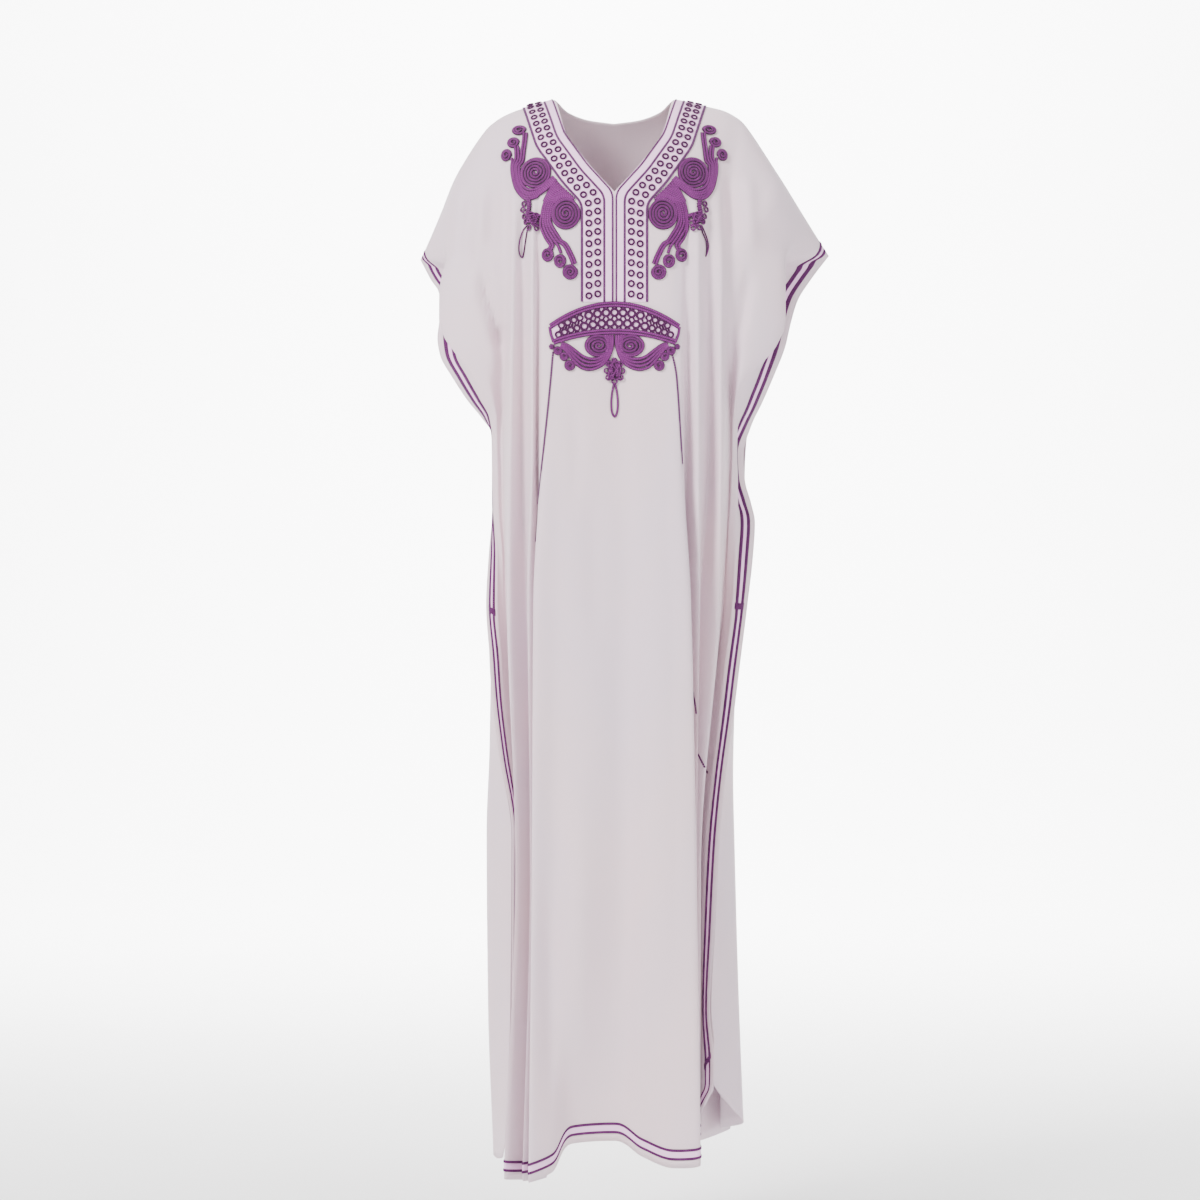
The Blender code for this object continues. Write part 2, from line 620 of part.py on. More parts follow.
def main():
    for old in list(bpy.data.objects):
        bpy.data.objects.remove(old)
    cloth = material("cloth", (0.80, 0.75, 0.78), 0.6)
    band = material("band_cloth", (0.84, 0.76, 0.84), 0.65)
    braid = material("braid", (0.30, 0.12, 0.33), 0.7)
    cord = material("corded_braid", (0.27, 0.10, 0.31), 0.7)
    front_panel, back_panel = front_and_back()
    front = sheet_points(front_panel, ROWS_FRONT)
    back = sheet_points(back_panel, ROWS_BACK)
    cloth_wall("front_panel", front, -1.0, cloth)
    cloth_wall("back_panel", back, 1.0, cloth)
    border_braid("front_border_braid", front, -1.0, braid)

    front_band_skin = trim_skin("front_band_skin", front, -1.0, BAND_WALL)
    back_band_skin = trim_skin("back_band_skin", back, 1.0, BAND_WALL)
    scroll_skin = trim_skin("scroll_skin", front, -1.0, SCROLL_WALL)
    trim("neck_band_front", [neck_outline()], front_band_skin, -1.0, band)
    nape = list(NAPE_BAND_LINE)
    trim("neck_band_back", [nape + mirrored(nape)], back_band_skin, 1.0, band)
    trim("crescent", [crescent_outline()], scroll_skin, -1.0, band)
    shoulder = [disc(*row) for row in SHOULDER_DISCS] + [ribbon(*row) for row in SHOULDER_CORDS]
    knot = [disc(*row) for row in SHOULDER_KNOT] + [ribbon(*SHOULDER_LOOP)]
    trim("left_shoulder_scroll", [mirrored(o) for o in shoulder], scroll_skin, -1.0, cord)
    trim("right_shoulder_scroll", shoulder, scroll_skin, -1.0, cord)
    trim("left_knot_loop", [mirrored(o) for o in knot], scroll_skin, -1.0, cord)
    trim("right_knot_loop", knot, scroll_skin, -1.0, cord)
    half = [disc(*row) for row in CHEST_DISCS] + [ribbon(*row) for row in CHEST_CORDS]
    trim("chest_scroll", half + [mirrored(o) for o in half], scroll_skin, -1.0, cord)
    chest_knot = [disc(*row) for row in CHEST_KNOT] + [ribbon(*CHEST_LOOP)]
    trim("chest_knot_loop", chest_knot, scroll_skin, -1.0, cord)


main()
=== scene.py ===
"""A pale kaftan as worn: its cloth, neck band, crescent, corded scrolls, braided border, and a plain studio.

Metres, +Z up, the front faces -Y. The cloth is the surface that runs through a garment's folds; whatever is
sewn on is laid on that surface and stands off it by its own thickness.
"""

import math
from collections import namedtuple

import bmesh
import bpy
import numpy as np
from mathutils import Matrix, Vector
from mathutils.bvhtree import BVHTree


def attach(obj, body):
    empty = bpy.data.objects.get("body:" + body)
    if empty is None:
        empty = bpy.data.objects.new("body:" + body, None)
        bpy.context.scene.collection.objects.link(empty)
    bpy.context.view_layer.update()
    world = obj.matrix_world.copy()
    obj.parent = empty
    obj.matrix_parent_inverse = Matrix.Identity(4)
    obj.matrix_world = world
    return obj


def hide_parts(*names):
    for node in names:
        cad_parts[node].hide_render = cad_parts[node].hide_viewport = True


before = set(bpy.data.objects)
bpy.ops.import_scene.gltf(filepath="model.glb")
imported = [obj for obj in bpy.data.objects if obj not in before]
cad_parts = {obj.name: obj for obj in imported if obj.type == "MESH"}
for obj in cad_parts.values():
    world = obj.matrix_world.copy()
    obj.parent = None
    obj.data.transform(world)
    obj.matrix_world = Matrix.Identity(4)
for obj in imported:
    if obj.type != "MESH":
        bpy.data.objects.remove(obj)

bl_info = {
    "name": "Kaftan",
    "version": (1, 0, 0),
    "blender": (4, 5, 0),
    "location": "View3D > Sidebar > Kaftan",
    "description": "Makes the cloth, bands, cords and braid of a kaftan, and a plain studio for it",
    "category": "Object",
}

MM = 0.001

# The gap between the front and the back where they meet
SEAM_GAP = 0.3 * MM

# The back's mesh columns a fold and its rows, and how much of a panel's rows lie evenly: the rest draw apart
# towards the hem
BACK_COLUMNS = 6
BACK_ROWS = 170
EVEN_ROWS = 0.35

# Heights, down from the shoulder line, and the levels at which the folds are given
SMOOTH_Z = -80 * MM
CHEST_Z = -260 * MM
ELBOW_Z = -460 * MM
HIP_Z = -660 * MM
KNEE_Z = -1000 * MM
HEM_Z = -1380 * MM
LEVELS = (CHEST_Z, ELBOW_Z, HIP_Z, KNEE_Z, HEM_Z)

# The side seams, in mm: where they and the slits begin, how the slit opens, and how the back's edge lies
# behind the front's and turns in
SIDE_SEAM_TOP = -640
SEAM_CLOSING = 30
SEAM_BEHIND = 4.6
SEAM_TURN = 5
SEAM_TURN_PULL = 0.7
SEAM_BELLY = 0.35
SLIT_TOP = -1230
SLIT_OPENS = 60
SLIT_DRIFT = 10

# The general figure that fills the shoulders
BUST_DEPTH = 122 * MM
BUST_CURVE = 1.8
SHOULDER_ROUND = 240 * MM
ROUND_POWER = 0.6
FOLD_SETTLE = 110 * MM

# One row a fold, from the centre outwards, in mm. Each crest or trough runs down from its top through five
# levels. x is out from the centre line, y is out from the shoulder plane, and hem_z is where the fold ends.
Fold = namedtuple(
    "Fold",
    "name top_x top_z chest_x chest_y elbow_x elbow_y hip_x hip_y knee_x knee_y hem_x hem_y hem_z",
)
FRONT_CENTRE = Fold("centre", 0, -135, 0, 119, 4, 127, 8, 129, 9, 121, 0, 84, -1350)
FRONT_RIGHT_FOLDS = (
    Fold("placket_side", 33, -97, 36, 122, 34, 131, 36, 133, 38, 129, 36, 102, -1368),
    Fold("panel", 62, -54, 66, 123, 62, 131, 68, 135, 74, 132, 74, 120, -1379),
    Fold("panel_crest", 79, 0, 84, 118, 85, 128, 97, 132, 104, 130, 110, 122, -1375),
    Fold("first_trough", 92, -2, 93, 112, 92, 102, 84, 84, 82, 76, 88, 72, -1360),
    Fold("second_crest", 106, -5, 107, 119, 107, 121, 108, 108, 106, 92, 108, 88, -1360),
    Fold("second_trough", 123, -9, 120, 100, 121, 86, 108, 68, 88, 48, 90, 44, -1356),
    Fold("third_crest", 143, -14, 136, 108, 137, 105, 134, 88, 112, 62, 111, 58, -1358),
    Fold("slot", 165, -26, 150, 92, 149, 60, 140, 46, 94, 24, 94, 22, -1352),
)
FRONT_LEFT_FOLDS = (
    Fold("placket_side", 33, -97, 36, 122, 36, 131, 38, 134, 42, 131, 56, 88, -1353),
    Fold("panel", 62, -54, 66, 123, 68, 131, 72, 133, 76, 126, 79, 120, -1384),
    Fold("panel_crest", 79, 0, 91, 118, 92, 127, 103, 133, 105, 133, 109, 138, -1394),
    Fold("first_trough", 92, -3, 97, 110, 98, 104, 88, 86, 82, 78, 87, 90, -1396),
    Fold("second_crest", 106, -7, 105, 119, 105, 119, 110, 106, 108, 100, 117, 112, -1397),
    Fold("second_trough", 122, -12, 117, 100, 118, 88, 112, 70, 92, 60, 102, 74, -1402),
    Fold("third_crest", 142, -20, 130, 111, 134, 106, 136, 92, 127, 92, 141, 102, -1396),
    Fold("slot", 163, -34, 143, 92, 144, 62, 139, 48, 104, 36, 114, 42, -1394),
)
BACK_CENTRE = Fold("centre", 0, -24, 0, 104, 0, 108, 0, 110, 0, 108, 0, 98, -1370)
BACK_FOLDS = (
    Fold("spine_side", 34, -20, 36, 108, 36, 116, 38, 120, 40, 122, 42, 118, -1374),
    Fold("first_crest", 60, -12, 68, 112, 70, 122, 74, 128, 78, 132, 84, 138, -1380),
    Fold("first_trough", 79, 0, 84, 103, 84, 96, 84, 86, 84, 76, 90, 76, -1374),
    Fold("second_crest", 97, -4, 100, 108, 103, 114, 106, 116, 110, 116, 118, 120, -1380),
    Fold("second_trough", 118, -9, 116, 96, 116, 82, 113, 68, 110, 54, 114, 50, -1374),
    Fold("third_crest", 142, -16, 134, 102, 138, 100, 142, 94, 148, 82, 156, 78, -1363),
    Fold("slot", 165, -30, 150, 86, 148, 60, 145, 44, 140, 36, 142, 34, -1354),
)

# One row a section of the sleeve and side, in mm: the sleeve's brow, the crest and trough of the fold that
# hides part of its border, and the cloth's edge. Below the sleeve, trough to edge is the border.
Side = namedtuple("Side", "z brow_x brow_y crest_x crest_y trough_x trough_y edge_x edge_y")
FRONT_RIGHT_SIDE = (
    Side(-205, 178, 84, 221, 58, 214, 38, 282, 0),
    Side(-235, 177, 88, 221, 64, 192, 36, 259, 8),
    Side(-265, 176, 90, 221, 67, 190, 38, 240, 20),
    Side(-295, 175, 91, 221, 70, 197, 48, 230, 40),
    Side(-330, 170, 90, 207, 76, 200, 64, 221, 55),
    Side(-365, 161, 89, 176, 84, 186, 76, 207, 62),
    Side(-400, 155, 80, 163, 77, 171, 72, 192, 56),
    Side(-430, 153, 69, 159, 66, 161, 59, 178, 45),
    Side(-467, 153, 62, 159, 56, 153, 44, 168, 40),
    Side(-500, 152, 60, 160, 55, 155, 43, 170, 38),
    Side(-530, 151, 57, 160, 56, 160, 47, 178, 38),
    Side(-555, 149, 54, 156, 56, 162, 52, 183, 40),
    Side(-600, 147, 52, 153, 56, 159, 57, 180, 47),
    Side(-660, 145, 50, 150, 56, 155, 60, 173, 50),
    Side(-745, 134, 44, 139, 53, 144, 62, 162, 57),
    Side(-800, 127, 39, 133, 49, 138, 60, 155, 60),
    Side(-885, 115, 33, 122, 44, 128, 57, 143, 61),
    Side(-970, 104, 28, 112, 40, 120, 54, 135, 60),
    Side(-1080, 100, 25, 108, 36, 115, 52, 129, 60),
    Side(-1185, 100, 23, 107, 34, 113, 50, 123, 60),
    Side(-1255, 100, 23, 108, 34, 115, 50, 129, 58),
    Side(-1375, 100, 22, 106, 33, 112, 48, 121, 57),
)
FRONT_LEFT_SIDE = (
    Side(-210, 180, 84, 216, 56, 212, 36, 254, 0),
    Side(-235, 181, 88, 222, 62, 190, 36, 241, 8),
    Side(-262, 182, 90, 226, 66, 190, 40, 226, 26),
    Side(-293, 181, 90, 226, 69, 200, 50, 227, 42),
    Side(-316, 178, 90, 219, 74, 206, 61, 229, 52),
    Side(-340, 172, 90, 202, 81, 203, 73, 225, 60),
    Side(-369, 163, 86, 180, 82, 188, 74, 209, 60),
    Side(-398, 156, 80, 164, 76, 172, 70, 190, 54),
    Side(-420, 152, 71, 157, 67, 161, 61, 172, 42),
    Side(-448, 152, 64, 157, 58, 158, 51, 154, 32),
    Side(-490, 151, 60, 157, 54, 158, 47, 152, 30),
    Side(-535, 150, 56, 155, 53, 157, 47, 157, 32),
    Side(-600, 145, 51, 149, 51, 153, 52, 163, 44),
    Side(-660, 144, 47, 148, 51, 153, 56, 166, 48),
    Side(-730, 138, 43, 143, 50, 147, 58, 161, 60),
    Side(-780, 133, 41, 138, 48, 144, 58, 157, 62),
    Side(-852, 124, 40, 130, 47, 136, 57, 148, 62),
    Side(-960, 109, 37, 115, 44, 121, 53, 131, 61),
    Side(-1185, 114, 38, 119, 44, 124, 52, 132, 60),
    Side(-1375, 119, 41, 124, 46, 128, 53, 134, 61),
)
BACK_SIDE = (
    Side(-205, 180, 76, 221, 56, 214, 36, 282, 0),
    Side(-235, 180, 80, 221, 62, 192, 36, 259, 8),
    Side(-265, 180, 82, 221, 65, 190, 38, 240, 20),
    Side(-295, 179, 82, 220, 68, 197, 48, 229, 40),
    Side(-330, 173, 82, 205, 73, 198, 62, 219, 54),
    Side(-365, 164, 80, 175, 76, 183, 70, 203, 58),
    Side(-400, 158, 74, 164, 69, 170, 63, 187, 48),
    Side(-440, 155, 60, 160, 54, 164, 48, 176, 32),
    Side(-500, 156, 42, 160, 31, 163, 22, 172, 6),
    Side(-560, 158, 26, 161, 10, 164, -3, 174, -16),
    Side(-610, 160, 14, 160, -10, 160, -28, 176, -32),
)
# The same rows where the back's left side hangs closer in
BACK_LEFT_TUCK = (
    Side(-365, 164, 80, 175, 76, 182, 70, 199, 58),
    Side(-400, 157, 74, 162, 69, 167, 63, 178, 48),
    Side(-440, 150, 58, 153, 52, 155, 46, 158, 30),
    Side(-500, 146, 40, 149, 30, 150, 21, 152, 4),
    Side(-560, 148, 25, 150, 10, 151, -3, 154, -16),
    Side(-610, 153, 14, 153, -8, 154, -24, 160, -32),
)
# Where the side seam closes, one row a height: how far out the side of the body stands, in mm
Flank = namedtuple("Flank", "z right_x left_x y")
FLANKS = (
    Flank(-610, 164, 160, 6),
    Flank(-745, 160, 161, 2),
    Flank(-860, 156, 163, 0),
    Flank(-970, 158, 167, 0),
    Flank(-1185, 164, 165, 0),
    Flank(-1375, 171, 158, 0),
)
# The back's sleeve sections reach as far out as each side's tip from this height up, in mm
TIP_FADE_Z = -330
TIP_FADE = 125
# Ends of the outer lines, in mm: where brow, crest, trough and edge leave the shoulder line, how far below
# it each has reached its own place, and where it ends at the front's and the back's rounded slit corner
Ends = namedtuple("Ends", "top_x top_z settle front_hem_z back_hem_z")
RIGHT_ENDS = (
    Ends(215, -98, 110, -1350, -1342),
    Ends(245, -146, 70, -1338, -1320),
    Ends(268, -183, 60, -1318, -1272),
    Ends(282, -205, 1, -1290, -1224),
)
LEFT_ENDS = (
    Ends(208, -102, 110, -1390, -1380),
    Ends(226, -146, 70, -1376, -1384),
    Ends(243, -186, 60, -1345, -1378),
    Ends(254, -210, 1, -1292, -1362),
)
# How deep each of those lines takes to round over the shoulder, and where the neck's corner lies
ARM_ROUNDS = (120 * MM, 90 * MM, 70 * MM, 50 * MM)
NECK_CORNER_X = 79 * MM

# Soft creases laid over the folds, in mm as seen from the front: height of the ridge (a trough is below 0),
# half width, then the points it runs through, x out from the centre and z down from the shoulder
Crease = namedtuple("Crease", "height width points")
FRONT_CREASES = (
    Crease(-7.5, 9, ((-186, -108), (-189, -180), (-190, -268))),
    Crease(6.5, 8, ((-170, -112), (-172, -160), (-171, -214))),
    Crease(-11.6, 8, ((-181, -203), (-168, -250), (-156, -298), (-143, -356))),
    Crease(7.5, 9, ((-169, -262), (-156, -330), (-150, -388))),
    Crease(-6.1, 8, ((-143, -300), (-143, -332))),
    Crease(-5.1, 22, ((13, -500), (13, -700), (12, -950), (10, -1330))),
    Crease(-6.1, 13, ((-82, -980), (-82, -1150), (-80, -1340))),
    Crease(4.4, 18, ((-42, -880), (-43, -1100), (-43, -1340))),
    Crease(3.4, 26, ((52, -420), (56, -700), (60, -1100), (60, -1340))),
    Crease(-3.1, 15, ((-30, -440), (-26, -600), (-24, -760))),
    Crease(-8.2, 9, ((147, -104), (148, -150), (149, -214))),
    Crease(7.1, 9, ((173, -96), (174, -150), (174, -212))),
    Crease(-7.5, 8, ((176, -222), (168, -268), (158, -322))),
    Crease(3.1, 12, ((120, -560), (112, -760), (112, -980))),
    Crease(-2.7, 10, ((98, -700), (98, -900), (100, -1100))),
    Crease(-3.1, 12, ((-52, -380), (-48, -470), (-50, -560))),
    Crease(2.7, 14, ((30, -1050), (32, -1200), (28, -1350))),
)
BACK_CREASES = (
    Crease(-5.8, 20, ((-14, -300), (-12, -600), (-12, -1000), (-10, -1340))),
    Crease(4.4, 18, ((30, -420), (32, -760), (30, -1100), (34, -1340))),
    Crease(-4.4, 12, ((60, -240), (58, -420), (60, -640))),
    Crease(-5.1, 14, ((-52, -620), (-50, -900), (-52, -1340))),
    Crease(4.1, 9, ((-170, -110), (-172, -160), (-171, -216))),
    Crease(-6.1, 8, ((-180, -206), (-166, -262), (-150, -340))),
    Crease(-5.8, 8, ((182, -208), (168, -268), (152, -348))),
    Crease(3.7, 9, ((172, -100), (174, -150), (174, -214))),
    Crease(3.4, 24, ((-62, -330), (-60, -520), (-62, -760))),
)
# How a crease ends, as a share of its length; how far under the shoulder the creases begin, in mm; and how
# many lines in from the edge they die out
CREASE_TAPER = 0.35
CREASE_FADE = 60
EDGE_CALM = 1.6
# Slow and fine unevenness of the crepe, in mm
UNEVEN_SLOW = 0.75
UNEVEN_FINE = 0.32

# The neck band, in mm: where the neck's edge runs on the front and round the nape, and how far out from it
# the lines, the rings and the band's own outer side lie
NECK_TURNS = ((79, 0), (62, -54), (33, -97), (0, -135), (0, -277))
NAPE_TURNS = ((79, 0), (60, -12), (34, -20), (0, -24))
RIDGE_WAY = (0.979, -0.204)
BAND_LINES = ((2.4, 2.4), (13.0, 3.0), (41.4, 3.3))
BAND_INNER = 0.5
BAND_OUTER = 43
BAND_COLUMNS = 13
BAND_LIFT = 0.7
EDGE_LIFT = 0.1
CORNER_EASE = 9.0
RING_ROWS = (21.4, 32.6)
RING_STEP = 13.3
# How much of each row is left bare at the crescent and at the middle of the nape
CRESCENT_GAP = 3.5
NAPE_GAP = RING_STEP / 2
# A ring's flatness, how far it stands off its ground, and how finely it is modelled
RING_FLATNESS = 0.75
RING_SEAT = 0.36
RING_LIFT = 0.55
RING_SIDES = 6
RING_STEPS = 18

# The crescent, in mm: height of its borders' middle lines at the centre and at the ends, half its width, and
# how far apart the two cords of a border lie. Of the lattice: each row's place between top and foot and its
# shift along it, the step, how far a cord stays off a ring's middle, how far out the rings keep their full
# step and the share of it after that, how far past a ring its cords reach, and how large and high a ring is
CRESCENT_TOP = (-280, -309)
CRESCENT_FOOT = (-314.6, -328.5)
CRESCENT_HALF = 82
CRESCENT_FOOT_HALF = 77
CRESCENT_CORDS = (-1.9, 1.9)
LATTICE_ROWS = ((0.3, 0.0), (0.69, 0.5))
LATTICE_STEP = 11.0
LATTICE_RIM = 3.8
LATTICE_DENSER = (44, 0.7)
LATTICE_OUT = 8.2
LATTICE_RING = 1.25
LATTICE_RING_LIFT = 1.1

# Right shoulder scroll, in mm. Guides are rows of inner x, inner z, outer x, outer z. A tail is a group of
# cords from the guides' end: their places between inner (0) and outer (1), and the points they go on through.
# A coil is its middle x and z, half width and half height, the angle where its cord comes in and which way
# round it goes.
Tail = namedtuple("Tail", "shares points")
Coil = namedtuple("Coil", "x z half_width half_height angle way")
UPPER_GUIDES = (
    (77.9, -113.7, 74.3, -118.3),
    (84.3, -119.5, 79.2, -125.6),
    (90.7, -125.2, 86.3, -132.0),
    (98.6, -128.7, 93.5, -137.6),
    (105.7, -129.5, 102.7, -143.4),
    (112.3, -126.2, 111.8, -143.8),
    (117.4, -120.3, 120.1, -138.7),
    (119.9, -112.6, 127.4, -127.3),
    (120.4, -104.3, 132.0, -108.1),
    (119.5, -96.9, 132.8, -95.9),
)
UPPER_TAILS = (
    Tail((0.12, 0.38), ((118.6, -90.9), (116.8, -75.7), (115.3, -63.4), (114.5, -52.4))),
    Tail((0.55, 0.75), ((125.0, -87.4), (124.9, -78.2), (125.8, -70.4))),
    Tail((0.92,), ((131.0, -91.5), (131.6, -86.2))),
)
LOWER_GUIDES = (
    (50.7, -144.9, 73.5, -119.8),
    (60.6, -142.5, 78.5, -127.1),
    (69.2, -143.7, 84.9, -137.3),
    (75.6, -149.4, 89.8, -147.4),
    (79.1, -157.4, 92.4, -156.9),
    (80.5, -165.4, 93.6, -166.3),
    (80.0, -173.5, 95.0, -174.8),
    (76.9, -180.8, 94.0, -183.7),
    (71.2, -189.7, 89.6, -194.9),
    (65.5, -198.5, 86.0, -200.8),
)
LOWER_TAILS = (
    Tail((0.1, 0.3), ((62.6, -204.5), (55.8, -217.2), (50.9, -229.3))),
    Tail((0.5,), ((71.1, -206.4), (67.8, -215.2))),
    Tail((0.7, 0.9), ((79.6, -204.6), (81.4, -209.6))),
)
LOWER_STARTS = (0.0, 0.2, 0.4, 0.6, 0.8, 1.0)
SHOULDER_COILS = (
    Coil(100.6, -108.3, 20.0, 21.2, -0.9, 1),
    Coil(61.7, -164.0, 18.9, 20.9, 2.2, -1),
    Coil(122.6, -47.8, 9.8, 7.2, 3.3, -1),
    Coil(130.0, -64.7, 8.4, 7.6, 3.2, -1),
    Coil(138.8, -81.4, 7.4, 8.6, 3.4, -1),
    Coil(56.2, -239.2, 9.9, 9.9, 2.6, 1),
    Coil(69.0, -224.9, 7.8, 9.2, 1.9, 1),
    Coil(84.6, -216.7, 7.8, 9.2, 1.6, 1),
)
SHOULDER_KNOT = ((106.1, -168.2), (5.6, 6.6))
SHOULDER_STEMS = (
    ((108.5, -143.4), (107.7, -153.2), (108.8, -161.9), (107.3, -171.0)),
    ((107.6, -168.7), (101.2, -164.5), (93.6, -167.0)),
)
SHOULDER_BEADS = (
    (114.8, -148.5),
    (115.8, -156.6),
    (114.0, -165.4),
    (111.2, -173.0),
    (107.5, -181.2),
    (101.5, -182.2),
    (103.5, -175.7),
    (98.3, -175.4),
)
LOOP_OPEN = (
    (110.6, -177.3),
    (116.3, -183.0),
    (120.8, -192.4),
    (122.8, -203.2),
    (122.2, -213.3),
    (119.1, -218.2),
    (115.6, -214.7),
    (113.7, -203.4),
    (111.7, -190.5),
    (109.7, -178.0),
)
LOOP_TWISTED = (
    (110.6, -177.9),
    (114.9, -186.9),
    (119.0, -198.2),
    (119.3, -207.3),
    (115.8, -216.9),
    (116.9, -212.4),
    (117.3, -204.9),
    (115.9, -196.5),
    (111.9, -187.4),
    (109.5, -178.9),
)

# Scroll under the crescent, right half, in mm, with rows as above
CHEST_GUIDES = (
    (13.0, -319.0, 2.0, -319.0),
    (9.4, -329.0, 2.0, -331.0),
    (10.0, -338.4, 4.4, -341.6),
    (14.0, -345.3, 8.6, -350.4),
    (20.6, -348.6, 15.8, -358.2),
    (26.8, -349.3, 25.5, -363.1),
    (33.2, -348.6, 34.4, -364.2),
    (40.2, -345.8, 43.4, -361.2),
    (46.6, -341.2, 50.4, -354.8),
    (52.9, -336.3, 56.4, -347.2),
    (59.9, -331.8, 62.8, -339.2),
    (67.2, -329.8, 69.0, -334.4),
)
CHEST_SHARES = (0.05, 0.35, 0.65, 0.95)
CHEST_COILS = (
    Coil(20.4, -333.0, 18.0, 14.6, 3.0, 1),
    Coil(56.8, -358.2, 7.0, 7.2, 2.0, 1),
    Coil(63.8, -346.8, 5.9, 6.0, 2.2, 1),
    Coil(71.6, -339.4, 6.0, 6.0, 2.2, 1),
    Coil(79.4, -334.2, 3.9, 4.0, 2.4, 1),
)
CHEST_KNOT = ((0.0, -364.6), (7.8, 11.6))
CHEST_STEMS = (((0, -349.0), (0, -357.0)), ((-3.6, -357), (-3.8, -372)), ((3.6, -357), (3.8, -372)))
CHEST_BEADS = (
    (0.0, -352.6),
    (7.6, -356.4),
    (10.0, -365.0),
    (8.0, -373.6),
    (0.0, -378.4),
)
CHEST_LOOP = (
    (0.8, -381.0),
    (3.0, -392.0),
    (4.2, -405.0),
    (3.4, -417.0),
    (0.0, -423.6),
    (-3.4, -417.0),
    (-4.2, -405.0),
    (-3.0, -392.0),
    (-0.8, -381.0),
)

# Lines of small running stitches on the front, in mm
STITCH_LINES = (
    ((-78, -342), (-83, -398), (-89, -456), (-95, -512), (-101, -580)),
    ((73, -342), (79, -374), (84, -450), (86, -482)),
    ((100, -770), (103, -786), (105, -800)),
    ((109, -856), (117, -872), (124, -885)),
)
STITCH_STEP = 3.2
STITCH_LENGTH = 2.8
STITCH_WIDTH = 2.9
STITCH_HEIGHT = 1.2

# The border on the front, in mm in from the cloth's edge: the middles of its two lines, free and down the
# closed side, the pale tape under them, and how wide a line is down the sleeve, down the side and at the hem
BORDER_LINES = (11.6, 22.6)
SEAM_LINES = (11.0, 21.0)
BORDER_TAPE = (11.0, 23.2)
SLEEVE_LINE = 6.0
SEAM_LINE = 5.6
HEM_LINE = 3.5
# How high the tape and a line stand across their width, which goes from -1 to 1
TAPE_LIFTS = (0.2, 0.35, 0.35, 0.35, 0.2)
LINE_PROFILE = ((-1.0, 0.15), (-0.85, 0.95), (-0.4, 1.3), (0.4, 1.3), (0.85, 0.95), (1.0, 0.15))
# The bar tacks: where the closed side begins and ends, how long and how wide they are, and their height
TACK_HEIGHTS = (-664, -1238)
TACK_FADE = 8
TACK_LENGTH = 8
TACK_REACH = (7.5, 26.5)
TACK_LIFTS = (0.3, 1.7, 1.9, 1.9, 1.7, 0.3)
# Where the cloth beside the edge is narrow, the border takes up this share of it at most. On the right edge
# it keeps its width above FREE_EDGE, and at the left tip it is drawn in.
WIDEST_BORDER = 0.82
FREE_EDGE = -540
TIP_SQUEEZE = 0.38
TIP_SQUEEZE_TOP = -300
TIP_SQUEEZE_FADE = 40
# Steps from one line of a panel to the next, down a side, along the hem, and over which the border is eased
EDGE_STEPS = 24
SIDE_STEPS = 330
HEM_STEPS = 360
EASE_STEPS = 7

# Cords, in mm: how far apart those of one tail run, how the twined pairs turn, and the width and height of a
# crescent cord, its end cord, a lattice cord, a twined cord, a knot's core and thread, and a loop's height
TAIL_STEP = 3.6
TWINE = 2.0
TWINE_TURN = 5.6
CRESCENT_CORD = (4.0, 2.2)
CRESCENT_END_CORD = (3.8, 2.2)
LATTICE_CORD = (2.5, 1.6)
TWINED_CORD = (3.4, 2.4)
KNOT_CORE = (3.6, 2.0)
KNOT_THREAD = (3.0, 2.2)
LOOP_HEIGHT = 1.7

# Coils: how much of a turn one makes at its rim before it winds inwards, the pitch as a share of the cord's
# width, and how much of that width its path stays in from the rim
RIM_TURN = 0.8
COIL_PITCH = 0.93
COIL_MARGIN = 0.45

# How far a ray is moved, in mm, when it slips between two faces, and where the search starts if all miss
RAY_SLIPS = (0.0, 0.04, -0.05, 0.2, 0.8, 2.0)
MISSED_DEPTH = 20 * MM

# The studio, in metres: the floor's half width, the backdrop's height and the bend between them
FLOOR_HALF = 7.0
BACKDROP_HEIGHT = 8.0
BEND_RADIUS = 2.5
BEND_SEGMENTS = 16
AIR_STRENGTH = 0.6
CAMERA_X = -0.0184
CAMERA_Z = -0.656
SENSOR_WIDTH = 36
Lamp = namedtuple("Lamp", "name place target size power colour")
LAMPS = (
    Lamp("key_light", (-2.4, -2.6, 1.7), (0, 0, -0.55), (1.2, 1.5), 270, (1, 0.99, 0.98)),
    Lamp("fill_light", (2.6, -3.0, 0.2), (0, 0, -0.7), (2.2, 2.6), 84, (0.98, 0.99, 1)),
    Lamp("top_light", (0.2, 0.2, 2.4), (0, 0, -0.7), (2.4, 2.4), 60, (1, 1, 1)),
    Lamp("backdrop_light", (0, 3.2, 2.6), (0, 7.0, -0.4), (6, 2.5), 2300, (1, 1, 1)),
)


def settings():
    """The sizes and colours that a user may change."""
    return bpy.context.scene.kaftan


